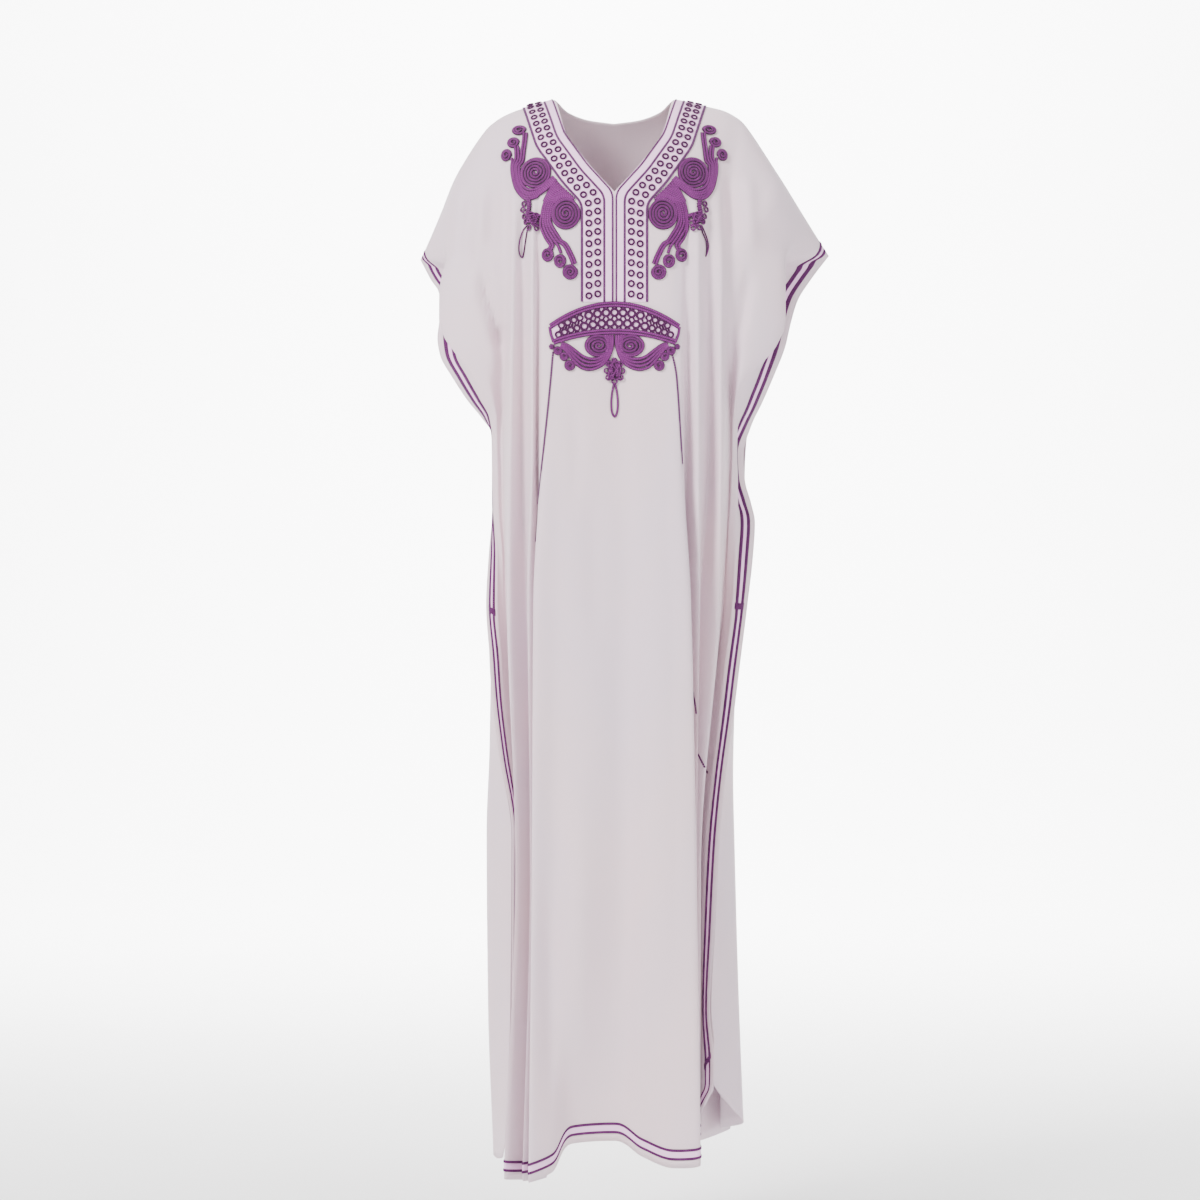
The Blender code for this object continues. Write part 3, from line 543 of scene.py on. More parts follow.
class KaftanSettings(bpy.types.PropertyGroup):
    """Sizes and colours of the kaftan and its studio."""

    cloth_wall: bpy.props.FloatProperty(
        name="Cloth thickness", description="Thickness of the crepe", default=0.8 * MM, min=0.3 * MM,
        unit="LENGTH", subtype="DISTANCE", precision=4,
    )
    columns_a_fold: bpy.props.IntProperty(
        name="Columns a fold", description="Mesh columns from each crest to the next trough", default=8, min=4
    )
    rows: bpy.props.IntProperty(
        name="Rows", description="Mesh rows from the shoulder to the hem", default=210, min=40
    )
    cloth_colour: bpy.props.FloatVectorProperty(
        name="Cloth", description="Colour of the crepe", default=(0.800, 0.625, 0.672),
        subtype="COLOR", min=0, max=1,
    )
    blush_colour: bpy.props.FloatVectorProperty(
        name="Blush", description="Second, slightly bluer colour of the crepe", default=(0.745, 0.605, 0.690),
        subtype="COLOR", min=0, max=1,
    )
    band_colour: bpy.props.FloatVectorProperty(
        name="Bands", description="Colour of the bands under the braid", default=(1.000, 0.620, 0.930),
        subtype="COLOR", min=0, max=1,
    )
    braid_colour: bpy.props.FloatVectorProperty(
        name="Braid lines", description="Colour of the narrow braids", default=(0.062, 0.005, 0.057),
        subtype="COLOR", min=0, max=1,
    )
    cord_colour: bpy.props.FloatVectorProperty(
        name="Scroll cord", description="Colour of the cords in the scrolls", default=(0.150, 0.018, 0.142),
        subtype="COLOR", min=0, max=1,
    )
    border_colour: bpy.props.FloatVectorProperty(
        name="Border braid", description="Colour of the border's two lines", default=(0.088, 0.012, 0.084),
        subtype="COLOR", min=0, max=1,
    )
    line_colour: bpy.props.FloatVectorProperty(
        name="Fine lines", description="Colour of the lines along the neck band",
        default=(0.120, 0.030, 0.120), subtype="COLOR", min=0, max=1,
    )
    cord_width: bpy.props.FloatProperty(
        name="Cord width", description="Width of one scroll cord", default=4.3 * MM,
        unit="LENGTH", subtype="DISTANCE", precision=4,
    )
    cord_height: bpy.props.FloatProperty(
        name="Cord height", description="How high one scroll cord stands", default=2.6 * MM,
        unit="LENGTH", subtype="DISTANCE", precision=4,
    )
    ring_radius: bpy.props.FloatProperty(
        name="Ring radius", description="Middle radius of a corded ring", default=3.55 * MM,
        unit="LENGTH", subtype="DISTANCE", precision=4,
    )
    ring_cord: bpy.props.FloatProperty(
        name="Ring cord", description="Thickness of a ring's cord", default=2.85 * MM,
        unit="LENGTH", subtype="DISTANCE", precision=4,
    )
    floor_z: bpy.props.FloatProperty(
        name="Floor height", description="Height of the studio floor", default=-1.52,
        unit="LENGTH", subtype="DISTANCE",
    )
    camera_away: bpy.props.FloatProperty(
        name="Camera distance", description="From the camera to the kaftan", default=4.0,
        unit="LENGTH", subtype="DISTANCE",
    )
    frame_width: bpy.props.FloatProperty(
        name="Frame width", description="Width of the picture at the kaftan", default=1.574,
        unit="LENGTH", subtype="DISTANCE",
    )


def smooth(t):
    """0 to 1 with level ends."""
    t = np.clip(t, 0.0, 1.0)
    return t * t * (3 - 2 * t)


def through(keys, values, at):
    """A smooth curve through values at rising keys, with no overshoot between them."""
    keys, values = np.asarray(keys, float), np.asarray(values, float)
    step = np.diff(keys)
    slope = np.diff(values) / step
    tangent = np.empty_like(values)
    tangent[0], tangent[-1] = slope[0], slope[-1]
    product = slope[:-1] * slope[1:]
    harmonic = 2 * product / np.where(slope[:-1] + slope[1:] == 0, 1, slope[:-1] + slope[1:])
    tangent[1:-1] = np.where(product > 0, harmonic, 0.0)
    at = np.clip(at, keys[0], keys[-1])
    i = np.clip(np.searchsorted(keys, at) - 1, 0, len(step) - 1)
    t = (at - keys[i]) / step[i]
    return (
        values[i] * (1 + 2 * t) * (1 - t) ** 2
        + step[i] * tangent[i] * t * (1 - t) ** 2
        + values[i + 1] * t * t * (3 - 2 * t)
        + step[i] * tangent[i + 1] * t * t * (t - 1)
    )


class Line:
    """One crest, trough or edge. Its top is x, z, hem z, rounding and settling depth."""

    def __init__(self, top, heights, xs, ys, inner):
        self.top = top
        order = np.argsort(heights)
        self.heights = np.asarray(heights)[order]
        self.xs, self.ys = np.asarray(xs)[order], np.asarray(ys)[order]
        self.inner = inner

    def plan(self, z):
        """x and y at these heights."""
        x = through(self.heights, self.xs, z)
        y = through(self.heights, self.ys, z)
        if self.inner:
            bare = BUST_DEPTH - BUST_CURVE * x * x
            folded = smooth((SMOOTH_Z - z) / (SMOOTH_Z - CHEST_Z))
            y = bare + (y - bare) * folded
        return x, y


def fold_line(fold):
    """The line of one fold's crest or trough."""
    xs = np.array([fold.chest_x, fold.elbow_x, fold.hip_x, fold.knee_x, fold.hem_x]) * MM
    ys = np.array([fold.chest_y, fold.elbow_y, fold.hip_y, fold.knee_y, fold.hem_y]) * MM
    top = (fold.top_x * MM, fold.top_z * MM, fold.hem_z * MM, SHOULDER_ROUND, FOLD_SETTLE)
    return Line(top, LEVELS, xs, ys, True)


def side_lines(rows, ends, hem_column):
    """The brow, crest, trough and edge lines of one side."""
    heights = np.array([row.z for row in rows]) * MM
    made = []
    for k, (end, rounding) in enumerate(zip(ends, ARM_ROUNDS)):
        xs = np.array([row[1 + 2 * k] for row in rows]) * MM
        ys = np.array([row[2 + 2 * k] for row in rows]) * MM
        hem_z = getattr(end, hem_column) * MM
        top = (end.top_x * MM, end.top_z * MM, hem_z, rounding, end.settle * MM)
        made.append(Line(top, heights, xs, ys, False))
    return made


def seam_rows(front_rows, flank_column):
    """The back's side sections under the arm opening: its edge lies behind the front's, face to face."""
    flanks = FLANKS[::-1]
    heights = [flank.z for flank in flanks]
    made = []
    for row in front_rows:
        if row.z > SIDE_SEAM_TOP:
            continue
        along = np.array([row.edge_x - row.trough_x, row.edge_y - row.trough_y], float)
        along /= np.linalg.norm(along)
        out = np.array([-along[1], along[0]])
        trough = np.array([row.trough_x, row.trough_y]) + along * SEAM_TURN - out * SEAM_BEHIND
        edge = np.array([row.edge_x, row.edge_y]) - out * SEAM_BEHIND
        flank_x = float(through(heights, [getattr(flank, flank_column) for flank in flanks], row.z))
        flank_y = float(through(heights, [flank.y for flank in flanks], row.z))
        free = float(smooth((SLIT_TOP - row.z) / SLIT_OPENS))
        trough += free * np.array([SLIT_DRIFT, -SLIT_DRIFT])
        edge += free * np.array([SLIT_DRIFT / 2, -SLIT_DRIFT])
        crest_x = flank_x + (trough[0] - flank_x) * SEAM_BELLY
        crest_y = flank_y + (-trough[1] - flank_y) / 2
        made.append(Side(row.z, flank_x, flank_y, crest_x, crest_y, trough[0], -trough[1], edge[0], -edge[1]))
    return tuple(made)


def scaled_sides(rows, ends):
    """The back's sleeve rows, reaching as far out as this side's tip."""
    reach = ends[-1].top_x / BACK_SIDE[0].edge_x
    made = []
    for row in rows:
        shrink = float(1 - (1 - reach) * smooth((row.z - TIP_FADE_Z) / TIP_FADE))
        outward = {name: getattr(row, name) * shrink for name in ("brow_x", "crest_x", "trough_x", "edge_x")}
        made.append(row._replace(**outward))
    return tuple(made)


def crease_height(crease, x, z):
    """How far one crease lifts the cloth at each place, in mm."""
    points = np.array(crease.points, float)
    lengths = np.linalg.norm(np.diff(points, axis=0), axis=1)
    starts = np.concatenate([[0.0], np.cumsum(lengths)])
    nearest = np.full(x.shape, 1e9)
    along = np.zeros(x.shape)
    for k, length in enumerate(lengths):
        way = (points[k + 1] - points[k]) / length
        t = np.clip((x - points[k][0]) * way[0] + (z - points[k][1]) * way[1], 0, length)
        away = np.hypot(x - points[k][0] - way[0] * t, z - points[k][1] - way[1] * t)
        closer = away < nearest
        nearest = np.where(closer, away, nearest)
        along = np.where(closer, starts[k] + t, along)
    taper = CREASE_TAPER * starts[-1]
    fade = smooth(along / taper) * smooth((starts[-1] - along) / taper)
    return crease.height * fade * np.exp(-((nearest / crease.width) ** 2))


def unevenness(x, z):
    """The slow, slight unevenness of hanging crepe, in mm."""
    slow = np.sin(x / 31 + 0.9 * np.sin(z / 140)) * np.sin(z / 170 + x / 90)
    fine = np.sin(x / 13 + 1.7 * np.sin(z / 85 + 0.6)) * np.sin(z / 61 + x / 47 + 1.1)
    return UNEVEN_SLOW * slow + UNEVEN_FINE * fine


class Panel:
    """A front or a back: its lines from the left edge to the right edge, and the cloth between them.

    A column is a place among the lines, 0 at the left edge, and it needn't be a whole number."""

    def __init__(self, centre, left, right, facing, seam_turn, creases):
        self.lines = left[::-1] + [centre] + right
        self.signs = np.array([-1.0] * len(left) + [1.0] * (1 + len(right)))
        self.facing = facing
        self.seam_turn = seam_turn
        self.creases = creases
        self.middle = len(left)
        self.last = len(self.lines) - 1
        self.ridge = None

    def share_ridge(self, other):
        """Take the height of the shoulder line from the other panel, so that the two meet all along it."""
        x, z = other.tops(np.linspace(0, other.last, 600))[:2]
        self.ridge = (x, z)

    def tops(self, at):
        """Top x, top z, hem z, ridge z, rounding and settling depth of each column."""
        table = np.array([line.top for line in self.lines])
        table[:, 0] *= self.signs
        columns = np.arange(len(table))
        halves = (slice(None, self.middle + 1), slice(self.middle, None))
        top_x, top_z = (
            np.where(at < self.middle, *(through(columns[half], values[half], at) for half in halves))
            for values in table.T[:2]
        )
        hem_z = through(columns, table[:, 2], at)
        rounding, settle = (np.interp(at, columns, values) for values in table.T[3:])
        beyond_neck = np.abs(top_x) >= NECK_CORNER_X
        if self.ridge is not None:
            top_z = np.where(beyond_neck, np.interp(top_x, *self.ridge), top_z)
        ridge_z = np.where(beyond_neck, top_z, 0.0)
        return top_x, top_z, hem_z, ridge_z, rounding, settle

    def bare_places(self, at, z):
        """Points of the outer face without its creases, one for each column and height."""
        at, z = np.broadcast_arrays(np.asarray(at, float), np.asarray(z, float))
        shape = at.shape
        at, z = at.ravel(), z.ravel()
        plans = np.array([line.plan(z) for line in self.lines])
        xs, ys = plans[:, 0] * self.signs[:, None], plans[:, 1]
        tangents_x, tangents_y = np.gradient(xs, axis=0), np.gradient(ys, axis=0)
        seamed = smooth((SIDE_SEAM_TOP + SEAM_CLOSING - z / MM) / SEAM_CLOSING) * self.seam_turn
        for border, inward in ((0, 1), (self.last, -1)):
            trough = border + inward
            for values, tangents in ((xs, tangents_x), (ys, tangents_y)):
                band = (values[border] - values[trough]) * -inward
                tangents[border] = band
                tangents[trough] += seamed * (band * SEAM_TURN_PULL - tangents[trough])
        i = np.clip(np.floor(at).astype(int), 0, self.last - 1)
        t = at - i
        k = np.arange(len(at))
        weights = ((1 + 2 * t) * (1 - t) ** 2, t * (1 - t) ** 2, t * t * (3 - 2 * t), t * t * (t - 1))
        x, y = (
            v[i, k] * weights[0] + g[i, k] * weights[1] + v[i + 1, k] * weights[2] + g[i + 1, k] * weights[3]
            for v, g in ((xs, tangents_x), (ys, tangents_y))
        )
        top_x, top_z, _, ridge_z, rounding, settle = self.tops(at)
        x = top_x + (x - top_x) * smooth((top_z - z) / settle)
        below = np.clip((ridge_z - z) / rounding, 0.0, 1.0)
        y = y * np.sin(math.pi / 2 * below**ROUND_POWER)
        return np.stack([x, self.facing * (y + SEAM_GAP / 2), z], -1).reshape(*shape, 3)

    def places(self, at, share):
        """Points of the outer face, at these shares of each column's way from the shoulder to the hem."""
        at, share = np.broadcast_arrays(np.asarray(at, float), np.asarray(share, float))
        top_z, hem_z = self.tops(at)[1:3]
        spots = self.bare_places(at, top_z + (hem_z - top_z) * share)
        x, z = spots[..., 0] / MM, spots[..., 2] / MM
        lift = unevenness(x, z)
        for crease in self.creases:
            lift = lift + crease_height(crease, x, z)
        settled = smooth((top_z / MM - z) / CREASE_FADE)
        calm = smooth(np.minimum(at, self.last - at) / EDGE_CALM)
        spots[..., 1] += self.facing * lift * settled * calm * MM
        return spots

    def from_edge(self, edge, shares, distances):
        """For each share, the columns that lie these distances in from the cloth's edge."""
        inward = 1 if edge == 0 else -1
        ats = edge + inward * np.linspace(0, 2, 2 * EDGE_STEPS + 1)
        spots = self.places(ats[None, :], np.asarray(shares)[:, None])
        steps = np.linalg.norm(np.diff(spots, axis=1), axis=2)
        lengths = np.concatenate([np.zeros((len(steps), 1)), np.cumsum(steps, axis=1)], axis=1)
        made = []
        for row, length, z in zip(np.asarray(distances).T, lengths, spots[:, 0, 2] / MM):
            squeeze = min(1.0, length[EDGE_STEPS] * WIDEST_BORDER / (max(BORDER_LINES) * MM))
            if edge and z > FREE_EDGE:
                squeeze = 1.0
            if not edge:
                squeeze *= float(1 - TIP_SQUEEZE * smooth((z - TIP_SQUEEZE_TOP) / TIP_SQUEEZE_FADE))
            made.append(np.interp(row * squeeze, length, ats))
        return np.array(made).T


_kept = {}


def front_and_back():
    """The two panels, worked out once."""
    if "panels" not in _kept:
        front = Panel(
            fold_line(FRONT_CENTRE),
            *(
                [fold_line(fold) for fold in folds] + side_lines(rows, ends, "front_hem_z")
                for folds, rows, ends in (
                    (FRONT_LEFT_FOLDS, FRONT_LEFT_SIDE, LEFT_ENDS),
                    (FRONT_RIGHT_FOLDS, FRONT_RIGHT_SIDE, RIGHT_ENDS),
                )
            ),
            facing=-1.0,
            seam_turn=0.0,
            creases=FRONT_CREASES,
        )
        folds = [fold_line(fold) for fold in BACK_FOLDS]
        tucked = BACK_SIDE[: -len(BACK_LEFT_TUCK)] + BACK_LEFT_TUCK
        left_rows = scaled_sides(tucked, LEFT_ENDS) + seam_rows(FRONT_LEFT_SIDE, "left_x")
        right_rows = scaled_sides(BACK_SIDE, RIGHT_ENDS) + seam_rows(FRONT_RIGHT_SIDE, "right_x")
        back = Panel(
            fold_line(BACK_CENTRE),
            folds + side_lines(left_rows, LEFT_ENDS, "back_hem_z"),
            folds + side_lines(right_rows, RIGHT_ENDS, "back_hem_z"),
            facing=1.0,
            seam_turn=1.0,
            creases=BACK_CREASES,
        )
        back.share_ridge(front)
        _kept["panels"] = (front, back)
    return _kept["panels"]


def cloth_places(side):
    """The fine grid of one panel: rows from the shoulder to the hem, columns from edge to edge."""
    if side not in _kept:
        front, back = front_and_back()
        panel, columns_a_fold, rows = front, settings().columns_a_fold, settings().rows
        if side == "back":
            panel, columns_a_fold, rows = back, BACK_COLUMNS, BACK_ROWS
        t = np.linspace(0, 1, rows)
        share = EVEN_ROWS * t + (1 - EVEN_ROWS) * t * t
        at = np.linspace(0, panel.last, panel.last * columns_a_fold + 1)
        _kept[side] = panel.places(at[None, :], share[:, None])
    return _kept[side]


def cloth_tree(side):
    """A search tree over the fine grid of one panel."""
    key = side + "_tree"
    if key not in _kept:
        places = cloth_places(side)
        down, across = places.shape[:2]
        index = np.arange(down * across).reshape(down, across)
        quads = np.stack([index[:-1, :-1], index[1:, :-1], index[1:, 1:], index[:-1, 1:]], -1).reshape(-1, 4)
        _kept[key] = BVHTree.FromPolygons(places.reshape(-1, 3).tolist(), quads.tolist())
    return _kept[key]


def onto_cloth(side, spots):
    """Where points of x and z, in mm, meet a panel's outer face, and the way out of the cloth there."""
    tree = cloth_tree(side)
    facing = -1.0 if side == "front" else 1.0
    places, ways = [], []
    for x, z in np.asarray(spots, float).reshape(-1, 2) * MM:
        for slip in RAY_SLIPS:
            start = Vector((x + slip * MM, facing, z - slip * MM))
            hit, normal, _, _ = tree.ray_cast(start, Vector((0, -facing, 0)))
            if hit is not None:
                break
        if hit is None:
            hit, normal, _, _ = tree.find_nearest(Vector((x, facing * MISSED_DEPTH, z)))
        if normal.y * facing < 0:
            normal = -normal
        places.append(hit)
        ways.append(normal)
    shape = np.asarray(spots).shape[:-1] + (3,)
    return np.array(places).reshape(shape), np.array(ways).reshape(shape)


def unit(vectors):
    """The same directions at length 1."""
    return vectors / np.maximum(np.linalg.norm(vectors, axis=-1, keepdims=True), 1e-12)


def spaced(points, step):
    """A smooth line through the points, as points about one step apart."""
    points = np.asarray(points, float)
    padded = np.concatenate([[2 * points[0] - points[1]], points, [2 * points[-1] - points[-2]]])
    dense = []
    for k in range(len(points) - 1):
        a, b, c, d = padded[k : k + 4]
        t = np.linspace(0, 1, 24, endpoint=False)[:, None]
        dense.append(
            0.5 * (2 * b + (c - a) * t + (2 * a - 5 * b + 4 * c - d) * t**2 + (3 * b - a - 3 * c + d) * t**3)
        )
    dense = np.concatenate(dense + [points[-1:]])
    return evenly(dense, step)


def evenly(dense, step):
    """The same line with its points one step apart."""
    lengths = np.concatenate([[0.0], np.cumsum(np.linalg.norm(np.diff(dense, axis=0), axis=1))])
    count = max(2, int(round(lengths[-1] / step)) + 1)
    at = np.linspace(0, lengths[-1], count)
    return np.stack([np.interp(at, lengths, column) for column in dense.T], -1)


def uv_layers(bm):
    """The two UV maps of every piece: lengths in metres, and shares across and along it, by which the cords'
    painted shade is laid.
    """
    return bm.loops.layers.uv.verify(), bm.loops.layers.uv.get("shares") or bm.loops.layers.uv.new("shares")


def laid_grid(bm, places, wrap=False, flip=False):
    """A grid whose vertices are moved to the places (rows along, columns across), with its UVs in metres."""
    along, across = places.shape[:2]
    uv, round_uv = uv_layers(bm)
    made = bmesh.ops.create_grid(bm, x_segments=across - 1, y_segments=along - 1, size=0.5)["verts"]
    down = np.linalg.norm(np.diff(places, axis=0), axis=2)
    wide = np.linalg.norm(np.diff(places, axis=1), axis=2)
    down = np.concatenate([np.zeros((1, across)), np.cumsum(down, axis=0)])
    wide = np.concatenate([np.zeros((along, 1)), np.cumsum(wide, axis=1)], axis=1)
    faces = set()
    for vert in made:
        column, row = round((vert.co.x + 0.5) * (across - 1)), round((0.5 - vert.co.y) * (along - 1))
        vert.co = places[row, column]
        for loop in vert.link_loops:
            loop[uv].uv = (wide[row, column], down[row, column])
            loop[round_uv].uv = (column / (across - 1), row / (along - 1))
            faces.add(loop.face)
    if flip:
        bmesh.ops.reverse_faces(bm, faces=list(faces))
    if wrap:
        bmesh.ops.remove_doubles(bm, verts=made, dist=0.01 * MM)
    return made


def add_cord(bm, places, ways, width, height, lift=0.0, sides=8):
    """A flat oval cord that lies on the places, standing off along the ways out."""
    along = unit(np.gradient(places, axis=0))
    across = unit(np.cross(along, ways))
    out = unit(np.cross(across, along))
    turn = np.linspace(0, 2 * math.pi, sides + 1)
    width = np.broadcast_to(width, len(places))[:, None, None]
    lift = np.broadcast_to(lift, len(places))[:, None, None]
    middle = places[:, None, :] + out[:, None, :] * (lift + height / 2)
    ring = across[:, None, :] * np.cos(turn)[None, :, None] * width / 2
    ring = ring + out[:, None, :] * np.sin(turn)[None, :, None] * height / 2
    laid_grid(bm, middle + ring, wrap=True)


def add_cloth_cord(bm, side, spots, width, height, lift=0.0, sides=8):
    """A cord laid on a panel along points of x and z, in mm."""
    places, ways = onto_cloth(side, spots)
    add_cord(bm, places, ways, width, height, lift, sides)


def add_strip(bm, places, ways, lifts, flip):
    """A band of several columns, each standing off the cloth by its own height."""
    laid_grid(bm, places + ways * np.asarray(lifts)[None, :, None], flip=flip)


def closed(bm):
    """Close the cords' ends and turn every face out."""
    bmesh.ops.holes_fill(bm, edges=[edge for edge in bm.edges if edge.is_boundary], sides=0)
    bmesh.ops.recalc_face_normals(bm, faces=bm.faces)


def finished(name, bm, material, replaces=(), wall=None, sharp=60):
    """An object from the mesh, riding on the part, that stands for the nodes it replaces."""
    mesh = bpy.data.meshes.new(name)
    bm.to_mesh(mesh)
    bm.free()
    made = bpy.data.objects.new(name, mesh)
    bpy.context.scene.collection.objects.link(made)
    mesh.materials.append(material)
    mesh.shade_smooth()
    mesh.set_sharp_from_angle(angle=math.radians(sharp))
    if wall:
        solid = made.modifiers.new("thickness", "SOLIDIFY")
        solid.thickness = wall
        solid.offset = -1.0
        solid.use_quality_normals = True
    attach(made, "root")
    if replaces:
        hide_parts(*replaces)
    return made


def node(tree, kind, **inputs):
    """A shader node with some of its sockets set."""
    made = tree.nodes.new(kind)
    for name, value in inputs.items():
        made.inputs[name.replace("_", " ")].default_value = value
    return made


def math_node(tree, operation, *values):
    """The result of a maths node; each value is a number or another node's output."""
    made = tree.nodes.new("ShaderNodeMath")
    made.operation = operation
    for socket, value in zip(made.inputs, values):
        if isinstance(value, bpy.types.NodeSocket):
            tree.links.new(value, socket)
        else:
            socket.default_value = value
    return made.outputs["Value"]


def multiplied(tree, first, second):
    """Two colours multiplied."""
    made = tree.nodes.new("ShaderNodeMix")
    made.data_type = "RGBA"
    made.blend_type = "MULTIPLY"
    made.inputs["Factor"].default_value = 1.0
    tree.links.new(first, made.inputs[6])
    tree.links.new(second, made.inputs[7])
    return made.outputs[2]


def surface_group(name, numbers, masks):
    """A node group that reads a vector and these numbers and gives these masks and a normal."""
    group = bpy.data.node_groups.new(name, "ShaderNodeTree")
    sockets = group.interface
    sockets.new_socket(name="Vector", in_out="INPUT", socket_type="NodeSocketVector")
    for label, value in numbers.items():
        socket = sockets.new_socket(name=label, in_out="INPUT", socket_type="NodeSocketFloat")
        socket.default_value = value
    for label in masks:
        sockets.new_socket(name=label, in_out="OUTPUT", socket_type="NodeSocketFloat")
    sockets.new_socket(name="Normal", in_out="OUTPUT", socket_type="NodeSocketVector")
    return group, group.nodes.new("NodeGroupInput"), group.nodes.new("NodeGroupOutput")


def weave_group():
    """Cloth grain from a piece's UVs: a mask of threads, a mask of slow mottling, and a normal."""
    if "cloth_grain" in bpy.data.node_groups:
        return bpy.data.node_groups["cloth_grain"]
    numbers = {"Threads": 900.0, "Depth": 0.2, "Mottle Size": 6.0}
    group, start, end = surface_group("cloth_grain", numbers, ("Thread", "Mottle"))
    link = group.links.new
    weft = node(group, "ShaderNodeTexWave", Distortion=1.2, Detail=1.0)
    warp = node(group, "ShaderNodeTexWave", Distortion=1.2, Detail=1.0)
    weft.bands_direction, warp.bands_direction = "X", "Y"
    pucker = node(group, "ShaderNodeTexNoise", Detail=3.0, Roughness=0.6)
    mottle = node(group, "ShaderNodeTexNoise", Detail=4.0, Roughness=0.55)
    for pattern in (weft, warp, pucker, mottle):
        link(start.outputs["Vector"], pattern.inputs["Vector"])
        scale = "Mottle Size" if pattern is mottle else "Threads"
        link(start.outputs[scale], pattern.inputs["Scale"])
    grain = group.nodes.new("ShaderNodeMix")
    grain.inputs["Factor"].default_value = 0.45
    link(math_node(group, "MAXIMUM", weft.outputs["Fac"], warp.outputs["Fac"]), grain.inputs["A"])
    link(pucker.outputs["Fac"], grain.inputs["B"])
    bump = node(group, "ShaderNodeBump", Distance=0.0004)
    link(grain.outputs["Result"], bump.inputs["Height"])
    link(start.outputs["Depth"], bump.inputs["Strength"])
    link(grain.outputs["Result"], end.inputs["Thread"])
    link(mottle.outputs["Fac"], end.inputs["Mottle"])
    link(bump.outputs["Normal"], end.inputs["Normal"])
    return group


def plait_group():
    """Braid from a piece's UVs: a mask of the crossing strands, a mask of worn spots, and a normal."""
    if "plaited_strands" in bpy.data.node_groups:
        return bpy.data.node_groups["plaited_strands"]
    numbers = {"Strands": 420.0, "Lean": 1.2, "Depth": 0.6}
    group, start, end = surface_group("plaited_strands", numbers, ("Strand", "Wear"))
    link = group.links.new
    parts = group.nodes.new("ShaderNodeSeparateXYZ")
    link(start.outputs["Vector"], parts.inputs["Vector"])
    strands = []
    for side in (1.0, -1.0):
        across = math_node(group, "MULTIPLY", parts.outputs["X"], side)
        leaned = math_node(group, "MULTIPLY_ADD", across, start.outputs["Lean"], parts.outputs["Y"])
        join = group.nodes.new("ShaderNodeCombineXYZ")
        link(leaned, join.inputs["X"])
        wave = node(group, "ShaderNodeTexWave", Distortion=0.6, Detail=1.0)
        link(join.outputs["Vector"], wave.inputs["Vector"])
        link(start.outputs["Strands"], wave.inputs["Scale"])
        strands.append(wave.outputs["Fac"])
    crossed = math_node(group, "MAXIMUM", *strands)
    wear = node(group, "ShaderNodeTexNoise", Scale=140.0, Detail=3.0, Roughness=0.6)
    link(start.outputs["Vector"], wear.inputs["Vector"])
    bump = node(group, "ShaderNodeBump", Distance=0.0008)
    link(crossed, bump.inputs["Height"])
    link(start.outputs["Depth"], bump.inputs["Strength"])
    link(crossed, end.inputs["Strand"])
    link(wear.outputs["Fac"], end.inputs["Wear"])
    link(bump.outputs["Normal"], end.inputs["Normal"])
    return group


def shaded(colour, factor):
    """The colour made darker or lighter."""
    return tuple(min(1.0, c * factor) for c in colour)


def two_tones(tree, mask, dark, light, low, high):
    """A colour that goes from dark to light as the mask goes from low to high."""
    ramp = tree.nodes.new("ShaderNodeValToRGB")
    for element, place, colour in zip(ramp.color_ramp.elements, (low, high), (dark, light)):
        element.position = place
        element.color = (*colour, 1)
    tree.links.new(mask, ramp.inputs["Fac"])
    return ramp.outputs["Color"]


def painted(name, **inputs):
    """A new material, its tree and its shader with some of the shader's sockets set."""
    made = bpy.data.materials.new(name)
    made.use_nodes = True
    shader = made.node_tree.nodes["Principled BSDF"]
    for label, value in inputs.items():
        shader.inputs[label.replace("_", " ")].default_value = value
    return made, made.node_tree, shader


def surface(tree, shader, group, **inputs):
    """The group placed on the piece's UVs in metres, its normal on the shader."""
    placed = tree.nodes.new("ShaderNodeGroup")
    placed.node_tree = group
    for label, value in inputs.items():
        placed.inputs[label.replace("_", " ")].default_value = value
    uv = tree.nodes.new("ShaderNodeUVMap")
    tree.links.new(uv.outputs["UV"], placed.inputs["Vector"])
    tree.links.new(placed.outputs["Normal"], shader.inputs["Normal"])
    return placed


def crepe(name, colour, blush, threads, depth, roughness, sheen):
    """Woven cloth: thread grain, a slow blush between two near colours and a soft sheen."""
    made, tree, shader = painted(
        name, Roughness=roughness, Specular_IOR_Level=0.35, Sheen_Weight=sheen, Sheen_Roughness=0.45
    )
    grain = surface(tree, shader, weave_group(), Threads=threads, Depth=depth, Mottle_Size=2.6)
    slow = two_tones(tree, grain.outputs["Mottle"], blush, colour, 0.36, 0.64)
    fine = two_tones(tree, grain.outputs["Thread"], (0.93, 0.92, 0.93), (1, 1, 1), 0.25, 0.85)
    tree.links.new(multiplied(tree, slow, fine), shader.inputs["Base Color"])
    return made


